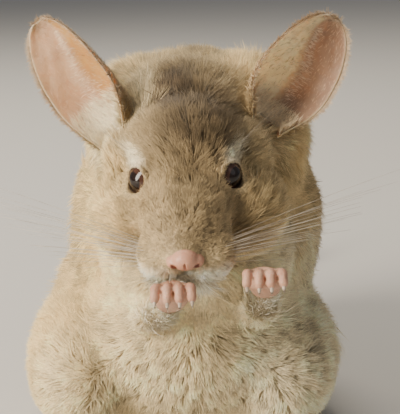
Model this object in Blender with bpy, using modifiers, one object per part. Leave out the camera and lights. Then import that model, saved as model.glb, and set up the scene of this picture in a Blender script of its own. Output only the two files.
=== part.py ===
"""A life-size chinchilla sitting up on its haunches, as a still museum model.

The animal faces -Y with +Z up. The floor is z = 0. Every solid reaches out to the tips of the coat.
Sizes are written in millimetres and turned into metres by MM where a mesh is made.
"""

import math
import random

import bmesh
import bpy
from mathutils import Euler, Matrix, Vector

MM = 0.001
GAP = 0.32
BODY_VOXEL = 1.5
FLOOR_REACH = 900.0

# Trunk, as blobs of (centre, radii, tilt about X in degrees), on the outside of the coat
UPPER_BACK = ((4, 18, 116), (48, 46, 51), 0)
SHOULDER = ((20, 10, 128), (29, 38, 38), 0)
MID_BODY = ((3, 31, 84), (57.5, 60, 66), 0)
LOIN = ((0, 44, 66), (56, 52, 56), 0)
HIPS = ((-4, 37, 47), (61, 58, 49.5), 0)
CHEST = ((2, -12, 88), (42, 32, 43), 0)
BELLY = ((0, -4, 46), (50, 37, 45), 0)
THIGH = ((42, 5, 31), (29, 44, 32.5), 8)
NAPE = ((-1, -8, 130), (40, 34, 36), 0)
HIP_SHIFT = -5.0
SHOULDER_SHIFT = 4.0

# Head, in its own axes: the nose points to -Y, and the eyes' midpoint is EYE_MID
EYE_MID = Vector((0, -6, 3))
HEAD_PLACE = Vector((-1.9, -52, 126.3))
HEAD_PITCH = 11.0
HEAD_YAW = -1.9
HEAD_ROLL = 2.0
CRANIUM = ((0, 13, 4), (27, 31, 24.5), 0)
OCCIPUT = ((0, 30, 5), (31, 26, 27), 0)
SNOUT = ((0, -18, -5.5), (18.5, 26.5, 15.5), 14)
NOSE_BRIDGE = ((0, -32.5, -7.0), (11.5, 14, 9.0), 16)
WHISKER_PAD = ((8.2, -34.0, -13.5), (10.4, 12.5, 9.4), 10)
CHEEK = ((20.5, 4, -15), (19.5, 27, 19), 0)
JAW = ((0, -14, -20), (17, 22, 11), 8)
CHIN = ((0, -31.5, -23.5), (7.5, 7.5, 5.0), 0)
BROW = ((12.5, 2, 7.5), (10.5, 14.5, 9), 0)
TEMPLE = ((20, 17, 0), (15, 22, 18), 0)
THROAT = ((0, 8, -22), (24, 25, 16), 0)

NOSE_TIP = Vector((0, -45.5, -10.2))
NOSE_RADII = (6.3, 5.4, 5.2)
NOSTRIL_OUT = 3.9
MOUTH_HALF_WIDTH = 8.0
EYE_CENTRE = Vector((14.1, -6.6, 2.9))
EYE_RADIUS = 6.9
EYE_GAZE = Vector((0.79, -0.60, 0.14))
LID_FORWARD = 4.0
LID_THICK = 1.3
EYE_OPENING = (4.5, 4.8)

# Ears: root in head axes, then length, widest half-width and turn of each opening away from the nose
EAR_ROOT = {"left": Vector((32.9, 23.4, 10.3)), "right": Vector((30.0, 20.6, 9.2))}
EAR_LENGTH = {"left": 49.8, "right": 54.4}
EAR_HALF_WIDTH = 18.1
EAR_WIDEST = 0.45
EAR_STALK = 0.40
EAR_SWEEP = -6.4
EAR_TAPER = {"inner": 0.21, "outer": 0.08}
EAR_THICK = 1.5
EAR_LEAN_OUT = {"left": 33.7, "right": 31.9}
EAR_LEAN_BACK = 7.2
EAR_TURN = {"left": 21.9, "right": 38.8}

# The cuts that part head, neck and trunk: a point and a forward normal in the midline
HEAD_CUT = (Vector((0, -15, 150)), Vector((0, -0.912, 0.409)))
NECK_CUT = (Vector((0, 6, 161)), Vector((0, -0.853, 0.522)))

# Fore limbs: elbow root, wrist and the middle of the fingers, for the animal's left (+X) and right (-X)
ELBOW = {"left": Vector((27, -34, 66)), "right": Vector((-18, -34, 64))}
WRIST = {"left": Vector((26, -76, 90)), "right": Vector((-8.2, -79.5, 86.6))}
KNUCKLES = {"left": Vector((25, -85, 98)), "right": Vector((-7.0, -91.5, 95.8))}
ARM_RADIUS = (9.6, 5.8)
FINGER_PITCH = 4.0
FINGER_RADIUS = 1.75
FINGER_COUNT = 4
NAIL_LENGTH = 1.6

# Hind feet, flat on the floor
FOOT_HEEL = Vector((41, 12, 0))
FOOT_LENGTH = 58.0
FOOT_HALF_WIDTH = 7.0
FOOT_HEIGHT = 11.0
FOOT_TOE_OUT = 8.0
TOE_RADIUS = 2.7
TOE_PITCH = 4.6

# Tail: a bony core with a brush of coarse locks, laid on the floor
TAIL_ROUTE = ((0, 74, 34), (0, 92, 25), (1, 108, 16.5), (5, 126, 13.5), (11, 144, 13.2), (19, 162, 13.6),
              (28, 178, 14.6), (38, 193, 16.2), (47, 204, 18.0))
TAIL_CORE = (8.6, 7.8, 6.0, 3.4)
TAIL_PARTING = 14
LOCK_LENGTH = 28.0
LOCK_WIDTH = 9.0
LOCK_THICK = 2.6
LOCKS_ROUND = 6
LOCK_ROWS = 7

# Whiskers: longest ones in the upper rows
WHISKER_ROWS = 3
WHISKERS_IN_ROW = 4
WHISKER_LENGTH = 74.0
WHISKER_ROOT_RADIUS = 0.42
WHISKER_TIP_RADIUS = 0.12

# What is parted from the head and the trunk, as blobs: each whisker pad and each thigh
NOSE_PARTING = ((0, -48.0, -10.0), (6.4, 5.6, 4.9), 0)
PAD_PARTING = ((14.0, -37.0, -13.5), (8.0, 10.5, 8.0), 0)
THIGH_PARTING = ((46, 2, 26), (29, 42, 33), 8)

FACES = {"head": 2000, "neck": 320, "torso": 1700}

COAT = ("coat", (0.50, 0.42, 0.31), 0.95, 0.0)
COAT_PALE = ("coat_pale", (0.74, 0.68, 0.55), 0.95, 0.0)
TAIL_COAT = ("tail_coat", (0.34, 0.28, 0.21), 0.95, 0.0)
EAR_SKIN = ("ear_skin", (0.72, 0.50, 0.38), 0.6, 0.0)
PAW_SKIN = ("paw_skin", (0.72, 0.46, 0.38), 0.6, 0.0)
EYE_GLOSS = ("eye", (0.03, 0.02, 0.018), 0.08, 0.0)


def clear_scene():
    """Removes every object, so that the script can be run again from the text editor."""
    for obj in list(bpy.data.objects):
        bpy.data.objects.remove(obj)


def collection_named(name):
    """A new collection under the scene."""
    made = bpy.data.collections.new(name)
    bpy.context.scene.collection.children.link(made)
    return made


def material_of(spec):
    """The Principled BSDF material of a (name, colour, roughness, metallic) spec."""
    name, colour, roughness, metallic = spec
    found = bpy.data.materials.get(name)
    if found:
        return found
    made = bpy.data.materials.new(name)
    made.use_nodes = True
    shader = made.node_tree.nodes["Principled BSDF"]
    shader.inputs["Base Color"].default_value = (*colour, 1.0)
    shader.inputs["Roughness"].default_value = roughness
    shader.inputs["Metallic"].default_value = metallic
    return made


def object_from(bm, name, collection):
    """An object in the collection that holds the bmesh, which is freed."""
    mesh = bpy.data.meshes.new(name)
    bm.to_mesh(mesh)
    bm.free()
    obj = bpy.data.objects.new(name, mesh)
    collection.objects.link(obj)
    return obj


def apply_modifiers(obj):
    """Makes the object's evaluated mesh its own mesh."""
    bpy.context.view_layer.update()
    graph = bpy.context.evaluated_depsgraph_get()
    mesh = bpy.data.meshes.new_from_object(obj.evaluated_get(graph))
    obj.modifiers.clear()
    obj.data = mesh


def copy_of(obj, name, collection):
    """A copy of the object with a mesh of its own."""
    made = obj.copy()
    made.data = obj.data.copy()
    made.name = name
    collection.objects.link(made)
    return made


def boolean(obj, cutter, operation, solver="MANIFOLD"):
    """Cuts or joins obj with a cutter object or a whole collection, and applies it."""
    modifier = obj.modifiers.new(operation.lower(), "BOOLEAN")
    modifier.operation = operation
    modifier.solver = solver
    if isinstance(cutter, bpy.types.Collection):
        modifier.operand_type = "COLLECTION"
        modifier.collection = cutter
    else:
        modifier.object = cutter
    apply_modifiers(obj)


def remove(*objs):
    """Takes objects out of the file."""
    for obj in objs:
        bpy.data.objects.remove(obj)


def empty_out(collection):
    """Removes every object in a collection."""
    remove(*list(collection.objects))


def largest_shell(obj):
    """Keeps only the largest closed surface of the object's mesh."""
    bm = bmesh.new()
    bm.from_mesh(obj.data)
    left = set(bm.faces)
    shells = []
    while left:
        seed = left.pop()
        shell, front = {seed}, [seed]
        while front:
            face = front.pop()
            for edge in face.edges:
                for other in edge.link_faces:
                    if other in left:
                        left.remove(other)
                        shell.add(other)
                        front.append(other)
        shells.append(shell)
    largest = max(shells, key=lambda shell: sum(face.calc_area() for face in shell))
    doomed = [face for face in bm.faces if face not in largest]
    if doomed:
        bmesh.ops.delete(bm, geom=doomed, context="FACES")
    bm.to_mesh(obj.data)
    bm.free()


def triangle_count(mesh):
    """How many triangles the mesh's faces come to."""
    return sum(len(face.vertices) - 2 for face in mesh.polygons)


def is_closed(mesh):
    """Whether every edge of the mesh lies between two faces."""
    bm = bmesh.new()
    bm.from_mesh(mesh)
    closed = all(edge.is_manifold for edge in bm.edges) and all(vert.is_manifold for vert in bm.verts)
    bm.free()
    return closed


def thinned(obj, faces):
    """Brings the object's mesh down to about this many triangles, and keeps it closed."""
    count = triangle_count(obj.data)
    if count <= faces:
        return
    full = obj.data
    for step in range(30):
        obj.data = full.copy()
        modifier = obj.modifiers.new("thin", "DECIMATE")
        modifier.ratio = faces * (1 + 0.01 * step) / count
        apply_modifiers(obj)
        if is_closed(obj.data):
            return
    print("not closed after thinning:", obj.name)


def swollen(obj, name, collection, by=GAP):
    """A copy of the object whose surface lies this far outside, for a cut that leaves a gap."""
    made = copy_of(obj, name, collection)
    modifier = made.modifiers.new("swell", "DISPLACE")
    modifier.strength = by * MM
    modifier.mid_level = 0.0
    apply_modifiers(made)
    return made


def head_matrix():
    """From head axes to the model's axes, in millimetres."""
    yaw = Matrix.Rotation(math.radians(HEAD_YAW), 4, "Z")
    pitch = Matrix.Rotation(math.radians(HEAD_PITCH), 4, "X")
    roll = Matrix.Rotation(math.radians(-HEAD_ROLL), 4, "Y")
    return Matrix.Translation(HEAD_PLACE) @ yaw @ pitch @ roll @ Matrix.Translation(-EYE_MID)


def add_blob(bm, blob, frame, mirror=False, subdivisions=4):
    """Adds one ellipsoid blob, given in the frame's axes, to the bmesh."""
    centre, radii, tilt = blob
    centre = Vector(centre)
    if mirror:
        centre.x = -centre.x
    place = (
        frame
        @ Matrix.Translation(centre)
        @ Matrix.Rotation(math.radians(tilt), 4, "X")
        @ Matrix.Diagonal((*radii, 1.0))
    )
    bmesh.ops.create_icosphere(bm, subdivisions=subdivisions, radius=1.0, matrix=Matrix.Scale(MM, 4) @ place)


def remeshed(obj, voxel, smoothing):
    """Fuses the overlapping closed shapes in the object into one smooth surface."""
    remesh = obj.modifiers.new("fuse", "REMESH")
    remesh.mode = "VOXEL"
    remesh.voxel_size = voxel * MM
    smooth = obj.modifiers.new("smooth", "SMOOTH")
    smooth.factor = 0.5
    smooth.iterations = smoothing
    apply_modifiers(obj)


def half_space(name, point, normal, collection):
    """A large block that fills the side of a plane that its normal points to."""
    turn = Vector(normal).to_track_quat("Z", "Y").to_matrix().to_4x4()
    place = Matrix.Translation(Vector(point)) @ turn @ Matrix.Translation((0, 0, FLOOR_REACH / 2))
    bm = bmesh.new()
    bmesh.ops.create_cube(bm, size=FLOOR_REACH, matrix=Matrix.Scale(MM, 4) @ place)
    return object_from(bm, name, collection)


def body_form(collection):
    """Head, neck and trunk as one surface, before it is parted: the trunk is smoothed before the head joins it."""
    world = Matrix.Identity(4)
    bm = bmesh.new()
    for blob in (UPPER_BACK, MID_BODY, LOIN, HIPS, CHEST, BELLY, NAPE):
        add_blob(bm, blob, world)
    for mirror in (False, True):
        add_blob(bm, SHOULDER, Matrix.Translation((SHOULDER_SHIFT, 0, 0)), mirror)
        add_blob(bm, THIGH, Matrix.Translation((HIP_SHIFT, 0, 0)), mirror)
    trunk = object_from(bm, "trunk_form", collection)
    remeshed(trunk, BODY_VOXEL * 1.4, 40)
    head = head_matrix()
    bm = bmesh.new()
    bm.from_mesh(trunk.data)
    for blob in (CRANIUM, OCCIPUT, SNOUT, NOSE_BRIDGE, JAW, CHIN, THROAT):
        add_blob(bm, blob, head)
    for mirror in (False, True):
        for blob in (WHISKER_PAD, CHEEK, BROW, TEMPLE):
            add_blob(bm, blob, head, mirror)
    add_blob(bm, (NOSE_TIP, NOSE_RADII, 0), head)
    remove(trunk)
    body = object_from(bm, "body_form", collection)
    remeshed(body, BODY_VOXEL, 5)
    return body


def settled(obj):
    """Brings every point that thinning left just off the floor back onto it."""
    for vert in obj.data.vertices:
        if vert.co.z < 0.15 * MM:
            vert.co.z = 0.0


def cut_to_floor(obj, collection):
    """Cuts away whatever of the object is under the floor, which leaves a flat there."""
    floor = half_space("above_floor", (0, 0, 0), (0, 0, 1), collection)
    boolean(obj, floor, "INTERSECT")
    remove(floor)


def part_body(body, parts, cutters):
    """Cuts the whole body into head, neck and torso with thin flat cuts."""
    half = GAP / 2
    head_point, head_normal = HEAD_CUT
    neck_point, neck_normal = NECK_CUT
    before_head = half_space("before_head_cut", head_point + head_normal * half, head_normal, cutters)
    behind_head = half_space("behind_head_cut", head_point - head_normal * half, -head_normal, cutters)
    before_neck = half_space("before_neck_cut", neck_point + neck_normal * half, neck_normal, cutters)
    behind_neck = half_space("behind_neck_cut", neck_point - neck_normal * half, -neck_normal, cutters)
    head = copy_of(body, "head", parts)
    boolean(head, before_head, "INTERSECT")
    neck = copy_of(body, "neck", parts)
    boolean(neck, behind_head, "INTERSECT")
    boolean(neck, before_neck, "INTERSECT")
    torso = copy_of(body, "torso", parts)
    boolean(torso, behind_neck, "INTERSECT")
    remove(before_head, behind_head, before_neck, behind_neck)
    for obj in (head, neck, torso):
        largest_shell(obj)
    return head, neck, torso


def blob_object(name, blob, frame, collection, mirror=False, grow=0.0, subdivisions=3):
    """One blob as an object of its own, grown by a margin."""
    centre, radii, tilt = blob
    bm = bmesh.new()
    add_blob(bm, (centre, tuple(r + grow for r in radii), tilt), frame, mirror, subdivisions)
    return object_from(bm, name, collection)


def carved_out(name, body, blob, frame, mirror, parts, cutters, subdivisions=2):
    """Parts the piece of a body inside a blob from the rest, with a gap between the two."""
    inner = blob_object("carve_inner", blob, frame, cutters, mirror, 0.0, subdivisions)
    outer = blob_object("carve_outer", blob, frame, cutters, mirror, GAP, subdivisions)
    piece = copy_of(body, name, parts)
    boolean(piece, inner, "INTERSECT")
    boolean(body, outer, "DIFFERENCE")
    remove(inner, outer)
    largest_shell(piece)
    largest_shell(body)
    return piece


def eye_place(side):
    """The eye's centre and gaze in the model's axes, for side +1 (left) or -1 (right)."""
    frame = head_matrix()
    centre = Vector((EYE_CENTRE.x * side, EYE_CENTRE.y, EYE_CENTRE.z))
    gaze = Vector((EYE_GAZE.x * side, EYE_GAZE.y, EYE_GAZE.z)).normalized()
    return frame @ centre, (frame.to_3x3() @ gaze).normalized()


def ball(name, centre, radius, collection, subdivisions=3):
    """A round ball."""
    bm = bmesh.new()
    place = Matrix.Translation(centre) @ Matrix.Scale(radius, 4)
    bmesh.ops.create_icosphere(bm, subdivisions=subdivisions, radius=1.0, matrix=Matrix.Scale(MM, 4) @ place)
    return object_from(bm, name, collection)


def ring(name, centre, axis, radius, thick, collection, squash=1.0):
    """A closed ring about an axis, squashed to an oval across its sideways direction."""
    turn = axis.to_track_quat("Z", "Y").to_matrix().to_4x4()
    bm = bmesh.new()
    bmesh.ops.create_circle(
        bm, segments=6, radius=thick * MM,
        matrix=Matrix.Translation((radius * MM, 0, 0)) @ Matrix.Rotation(math.pi / 2, 4, "X"),
    )
    bmesh.ops.spin(
        bm, geom=bm.verts[:] + bm.edges[:], cent=(0, 0, 0), axis=(0, 0, 1),
        angle=2 * math.pi, steps=18, use_merge=True,
    )
    bmesh.ops.remove_doubles(bm, verts=bm.verts, dist=0.01 * MM)
    bmesh.ops.recalc_face_normals(bm, faces=bm.faces)
    place = Matrix.Translation(centre * MM) @ turn @ Matrix.Diagonal((1.0, squash, 1.0, 1.0))
    bmesh.ops.transform(bm, matrix=place, verts=bm.verts)
    return object_from(bm, name, collection)


def limb(bm, points, radii, sides=8, flat=1.0):
    """Adds a closed, round-ended tube through the points, with a radius at each, to the bmesh."""
    points = [Vector(p) for p in points]
    rings = []
    count = len(points)
    for i, (point, radius) in enumerate(zip(points, radii)):
        ahead = points[min(i + 1, count - 1)] - points[max(i - 1, 0)]
        turn = ahead.to_track_quat("Z", "Y").to_matrix().to_4x4()
        place = Matrix.Translation(point) @ turn @ Matrix.Diagonal((radius, radius * flat, 1.0, 1.0))
        made = bmesh.ops.create_circle(bm, segments=sides, radius=1.0, matrix=Matrix.Scale(MM, 4) @ place)
        rings.append(made["verts"])
    for near, far in zip(rings, rings[1:]):
        for k in range(sides):
            m = (k + 1) % sides
            bm.faces.new((near[k], near[m], far[m], far[k]))
    bm.faces.new(list(reversed(rings[0])))
    bm.faces.new(rings[-1])


def smooth_path(points, count):
    """This many points, evenly spaced in parameter, on a smooth curve through the given points."""
    points = [Vector(p) for p in points]
    padded = [2 * points[0] - points[1], *points, 2 * points[-1] - points[-2]]
    path = []
    spans = len(points) - 1
    for i in range(count):
        t = i / (count - 1) * spans
        k = min(int(t), spans - 1)
        u = t - k
        a, b, c, d = padded[k:k + 4]
        path.append(
            0.5 * (2 * b + (c - a) * u + (2 * a - 5 * b + 4 * c - d) * u * u + (3 * b - a - 3 * c + d) * u ** 3)
        )
    return path


def fused(name, bms, parts, workshop):
    """Joins closed bmeshes into one node by a union on a collection of them, and keeps its largest surface."""
    first = object_from(bms[0], name, parts)
    if len(bms) > 1:
        for i, bm in enumerate(bms[1:]):
            object_from(bm, f"{name}_piece_{i}", workshop)
        boolean(first, workshop, "UNION")
        empty_out(workshop)
    largest_shell(first)
    return first


def face_details(head, cutters, workshop):
    """Adds the lids and lips to the head, then cuts nostrils, mouth line and eye sockets."""
    frame = head_matrix()
    for side in (1, -1):
        centre, gaze = eye_place(side)
        radius = math.sqrt(EYE_RADIUS ** 2 - LID_FORWARD ** 2)
        ring(f"lid_{side}", centre + gaze * LID_FORWARD, gaze, radius + 0.35, LID_THICK, workshop, 0.92)
    boolean(head, workshop, "UNION")
    empty_out(workshop)
    for side in (1, -1):
        # The opening between the lids, cut outward from the middle of the eye
        centre, gaze = eye_place(side)
        turn = gaze.to_track_quat("Y", "Z").to_matrix().to_4x4()
        place = Matrix.Translation(centre + gaze * 10) @ turn @ Matrix.Rotation(math.pi / 2, 4, "X")
        wide, tall = EYE_OPENING
        bm = bmesh.new()
        bmesh.ops.create_cone(
            bm, cap_ends=True, segments=20, radius1=1.0, radius2=1.0, depth=20.0,
            matrix=Matrix.Scale(MM, 4) @ place @ Matrix.Diagonal((wide, tall, 1.0, 1.0)),
        )
        object_from(bm, f"eye_opening_{side}", workshop)
        # A comma-shaped nostril that runs in from the side of the nose
        bm = bmesh.new()
        mouth_of_it = NOSE_TIP + Vector((side * (NOSTRIL_OUT + 0.6), -3.6, -0.4))
        inner = NOSE_TIP + Vector((side * 1.7, 1.0, 0.6))
        outer = mouth_of_it + Vector((side * 1.4, -1.2, 0.9))
        limb(bm, [frame @ outer, frame @ mouth_of_it, frame @ inner], (1.25, 1.15, 0.6), sides=7, flat=0.7)
        object_from(bm, f"nostril_{side}", workshop)
    boolean(head, workshop, "DIFFERENCE")
    empty_out(workshop)
    # The mouth line runs round under the whisker pads, and the cleft joins it to the nose
    curve = []
    for i in range(9):
        t = -1 + i / 4
        curve.append(frame @ Vector((MOUTH_HALF_WIDTH * t, -41.6 + 8.6 * t * t, -19.4 - 1.4 * t * t)))
    bm = bmesh.new()
    limb(bm, curve, [0.6 + 0.5 * (1 - abs(-1 + i / 4)) for i in range(9)], sides=6, flat=2.6)
    object_from(bm, "mouth_line", workshop)
    bm = bmesh.new()
    cleft = [(0, -48.0, -13.8), (0, -45.2, -16.4), (0, -42.2, -19.4)]
    limb(bm, [frame @ Vector(p) for p in cleft], (0.55, 0.6, 0.55), sides=6, flat=2.4)
    object_from(bm, "lip_cleft", workshop)
    boolean(head, workshop, "DIFFERENCE")
    empty_out(workshop)
    largest_shell(head)


def cut_sockets(head, cutters):
    """Hollows the head behind each eye, so that the ball sits in it with a thin gap."""
    for side in (1, -1):
        socket = ball("socket", eye_place(side)[0], EYE_RADIUS + GAP, cutters)
        boolean(head, socket, "DIFFERENCE")
        remove(socket)
    largest_shell(head)


def ear_frame(side_name):
    """Matrix whose Z runs up the ear, whose Y points out of its opening and whose X runs across it."""
    side = 1 if side_name == "left" else -1
    lean = math.radians(EAR_LEAN_OUT[side_name])
    up = Vector((side * math.sin(lean), math.sin(math.radians(EAR_LEAN_BACK)), 0))
    up.z = math.sqrt(1 - up.x ** 2 - up.y ** 2)
    turn = math.radians(EAR_TURN[side_name])
    opening = Vector((side * math.sin(turn), -math.cos(turn), 0))
    opening = (opening - up * opening.dot(up)).normalized()
    across = opening.cross(up).normalized()
    at = EAR_ROOT[side_name]
    root = head_matrix() @ Vector((at.x * side, at.y, at.z))
    turned = Matrix((across, opening, up)).transposed().to_4x4()
    return Matrix.Translation(root) @ turned


def ear_half_width(along):
    """The ear's half-width at a share of its length: a wide stalk that opens to a leaf with a round tip."""
    if along < EAR_WIDEST:
        rise = along / EAR_WIDEST
        return EAR_HALF_WIDTH * (EAR_STALK + (1 - EAR_STALK) * math.sin(rise * math.pi / 2) ** 1.15)
    fall = (along - EAR_WIDEST) / (1 - EAR_WIDEST)
    return EAR_HALF_WIDTH * math.sqrt(max(0.0, 1 - fall ** 2.2))


def ear_wrap(along):
    """Half the angle that the ear's wall wraps through: nearly a tube at the root, an open cup above."""
    return math.radians(118 - 72 * min(1.0, along / 0.75) ** 0.8)


def ear(side_name, parts):
    """One cupped ear: an open sheet shaped in its own frame, given its thickness by Solidify."""
    rows, columns = 12, 8
    frame = ear_frame(side_name)
    side = 1 if side_name == "left" else -1
    bm = bmesh.new()
    bmesh.ops.create_grid(bm, x_segments=columns, y_segments=rows, size=0.5)
    for vert in bm.verts:
        across = vert.co.x * 2
        along = 0.992 * (1 - (0.5 - vert.co.y) ** 1.5)
        wrap = ear_wrap(along)
        half = max(ear_half_width(along), 1.4)
        radius = half / max(math.sin(min(wrap, math.pi / 2)), 0.2)
        angle = wrap * across
        x = radius * math.sin(angle)
        y = -radius * (math.cos(angle) - math.cos(wrap)) * 0.8
        # The tip curls back a little, and the whole leaf bows outwards
        y -= 5.0 * along ** 2
        x *= 1.0 - EAR_TAPER["inner" if across * side > 0 else "outer"] * along
        x += side * EAR_SWEEP * (along ** 2 - 0.6 * along)
        z = EAR_LENGTH[side_name] * (along - 0.06 * abs(across) ** 2 * (1 - along))
        vert.co = (frame @ Vector((x, y, z))) * MM
    made = object_from(bm, f"ear_{side_name}", parts)
    solid = made.modifiers.new("thickness", "SOLIDIFY")
    solid.thickness = EAR_THICK * MM
    solid.offset = 0.0
    solid.use_even_offset = True
    apply_modifiers(made)
    bm = bmesh.new()
    bm.from_mesh(made.data)
    bmesh.ops.recalc_face_normals(bm, faces=bm.faces)
    bm.to_mesh(made.data)
    bm.free()
    return made


def hand(side_name, parts, workshop):
    """One fore paw with its fingers curled down, as over an edge, and a short nail on each."""
    knuckles, wrist = KNUCKLES[side_name], WRIST[side_name]
    palm = bmesh.new()
    start = wrist + (wrist - knuckles).normalized() * 3.0
    limb(
        palm,
        smooth_path([start, wrist.lerp(knuckles, 0.45), knuckles + Vector((0, 1.5, 0))], 5),
        (5.4, 6.0, 7.1, 7.4, 5.0), sides=12, flat=0.62,
    )
    pieces = [palm]
    for k in range(FINGER_COUNT):
        place = k - (FINGER_COUNT - 1) / 2
        length = 1.0 - 0.10 * abs(place)
        base = knuckles + Vector((place * FINGER_PITCH * 0.85, 2.5, -0.5))
        bend = knuckles + Vector((place * FINGER_PITCH * 1.02, -3.0 * length, 1.0))
        tip = knuckles + Vector((place * FINGER_PITCH * 1.08, -5.4 * length, -3.6 * length))
        path = smooth_path([base, bend, tip], 6)
        bm = bmesh.new()
        limb(bm, path, [FINGER_RADIUS * r for r in (1.0, 1.05, 1.08, 1.0, 1.0, 0.62)], sides=7)
        pieces.append(bm)
        bm = bmesh.new()
        down = (path[-1] - path[-3]).normalized()
        nail = [path[-1] - down * 1.2, path[-1] + down * 0.6, path[-1] + down * NAIL_LENGTH]
        limb(bm, nail, (0.75, 0.6, 0.18), sides=5)
        pieces.append(bm)
    made = fused(f"hand_{side_name}", pieces, parts, workshop)
    way = (knuckles - wrist).normalized()
    front = half_space("front_of_wrist", wrist + way * GAP / 2, way, workshop)
    boolean(made, front, "INTERSECT")
    remove(front)
    return made


def arm(side_name, parts, cutters):
    """The furred fore limb from the chest to the wrist."""
    elbow, wrist = ELBOW[side_name], WRIST[side_name]
    way = (KNUCKLES[side_name] - wrist).normalized()
    bm = bmesh.new()
    middle = elbow.lerp(wrist, 0.5) + Vector((0, 0, -3.0))
    path = smooth_path([elbow, middle, wrist + way * 3.0], 7)
    wide, narrow = ARM_RADIUS
    radii = [wide + (narrow - wide) * (i / 6) ** 0.8 for i in range(7)]
    limb(bm, path, radii, sides=14, flat=0.85)
    made = object_from(bm, f"arm_{side_name}", parts)
    behind = half_space("behind_wrist", wrist - way * GAP / 2, -way, cutters)
    boolean(made, behind, "INTERSECT")
    remove(behind)
    return made


def foot(side_name, parts, workshop, cutters):
    """One long hind foot with three toes, flat on the floor."""
    side = 1 if side_name == "left" else -1
    heel = Vector((FOOT_HEEL.x * side + HIP_SHIFT, FOOT_HEEL.y, 0))
    out = math.radians(FOOT_TOE_OUT) * side
    frame = Matrix.Translation(heel) @ Matrix.Rotation(out, 4, "Z")
    sole = bmesh.new()
    stations = (0.0, 0.10, 0.32, 0.55, 0.74)
    widths = (0.55, 0.82, 0.86, 0.95, 0.86)
    path = [frame @ Vector((0, -FOOT_LENGTH * s, FOOT_HEIGHT * 0.42)) for s in stations]
    limb(sole, path, [FOOT_HALF_WIDTH * w for w in widths], sides=12, flat=1.0)
    for vert in sole.verts:
        vert.co.z = (vert.co.z / MM - FOOT_HEIGHT * 0.42) * 0.78 * MM + FOOT_HEIGHT * 0.42 * MM
    pieces = [sole]
    for k in (-1, 0, 1):
        reach = FOOT_LENGTH * (0.985 - 0.075 * abs(k))
        base = frame @ Vector((k * TOE_PITCH * 0.8, -FOOT_LENGTH * 0.66, 4.4))
        bend = frame @ Vector((k * TOE_PITCH * 1.1, -FOOT_LENGTH * 0.84, 4.0))
        tip = frame @ Vector((k * TOE_PITCH * 1.2, -reach, 2.0))
        bm = bmesh.new()
        path = smooth_path([base, bend, tip], 6)
        limb(bm, path, [TOE_RADIUS * r for r in (1.0, 1.1, 1.1, 1.0, 0.95, 0.6)], sides=8)
        pieces.append(bm)
        bm = bmesh.new()
        ahead = (path[-1] - path[-2]).normalized()
        nail = [path[-1] - ahead * 1.5, path[-1] + ahead * 0.8 + Vector((0, 0, 0.6)),
                path[-1] + ahead * 2.4]
        limb(bm, nail, (1.0, 0.8, 0.22), sides=5)
        pieces.append(bm)
    made = fused(f"foot_{side_name}", pieces, parts, workshop)
    cut_to_floor(made, cutters)
    return made


def tail_lock(root, along, outward, length, rng):
    """One flat, tapered lock that leaves the tail and bends back along it."""
    across = along.cross(outward).normalized()
    lift = 0.40 + 0.12 * rng.random()
    swing = (rng.random() - 0.5) * 0.36
    bm = bmesh.new()
    rings = []
    for i in range(4):
        t = i / 3
        ahead = along * length * t
        up = outward * (length * lift * (t - 0.35 * t * t))
        drift = across * (length * swing * t * t)
        point = root + ahead + up + drift
        half = LOCK_WIDTH / 2 * (1.0, 1.05, 0.74, 0.12)[i]
        thick = LOCK_THICK / 2 * (1.0, 1.0, 0.75, 0.2)[i]
        corners = (across * half, outward * thick, -across * half, -outward * thick)
        rings.append([bm.verts.new((point + c) * MM) for c in corners])
    for near, far in zip(rings, rings[1:]):
        for k in range(4):
            m = (k + 1) % 4
            bm.faces.new((near[k], near[m], far[m], far[k]))
    bm.faces.new(rings[0])
    bm.faces.new(rings[-1])
    bmesh.ops.recalc_face_normals(bm, faces=bm.faces)
    return bm


def tail_nodes(parts, workshop, cutters):
    """The tail's plain root, and its brush: a core with rows of locks fused in."""
    rng = random.Random(7)
    steps = 61
    path = smooth_path(TAIL_ROUTE, steps)
    radii = [point.x for point in smooth_path([(r, 0, 0) for r in TAIL_CORE], steps)]
    root = bmesh.new()
    root_path = [path[round((TAIL_PARTING + 2) * i / 4)] for i in range(5)]
    limb(root, root_path, [radii[0] + 2.0 * (1 - i / 4) for i in range(5)], sides=14)
    tail_root = object_from(root, "tail_root", parts)
    core = bmesh.new()
    indices = list(range(TAIL_PARTING, steps, 4))
    limb(core, [path[i] for i in indices], [radii[i] for i in indices], sides=12)
    pieces = [core]
    for row in range(LOCK_ROWS):
        share = row / (LOCK_ROWS - 1)
        index = round(TAIL_PARTING + 1 + share * (steps - TAIL_PARTING - 4))
        along = (path[min(index + 1, steps - 1)] - path[index - 1]).normalized()
        side_way = along.cross(Vector((0, 0, 1))).normalized()
        up_way = side_way.cross(along).normalized()
        for k in range(LOCKS_ROUND):
            angle = 2 * math.pi * (k + 0.5 * (row % 2) + 0.2 * rng.random()) / LOCKS_ROUND
            outward = (side_way * math.cos(angle) + up_way * math.sin(angle)).normalized()
            length = LOCK_LENGTH * (0.9 + 0.25 * rng.random())
            pieces.append(tail_lock(path[index] + outward * radii[index] * 0.45, along, outward, length, rng))
    brush = fused("tail_brush", pieces, parts, workshop)
    along = (path[TAIL_PARTING + 1] - path[TAIL_PARTING - 1]).normalized()
    start = half_space("brush_start", path[TAIL_PARTING] + along * GAP / 2, along, cutters)
    stop = half_space("root_stop", path[TAIL_PARTING] - along * GAP / 2, -along, cutters)
    boolean(brush, start, "INTERSECT")
    boolean(tail_root, stop, "INTERSECT")
    remove(start, stop)
    for made in (tail_root, brush):
        cut_to_floor(made, cutters)
        largest_shell(made)
    return tail_root, brush


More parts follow.
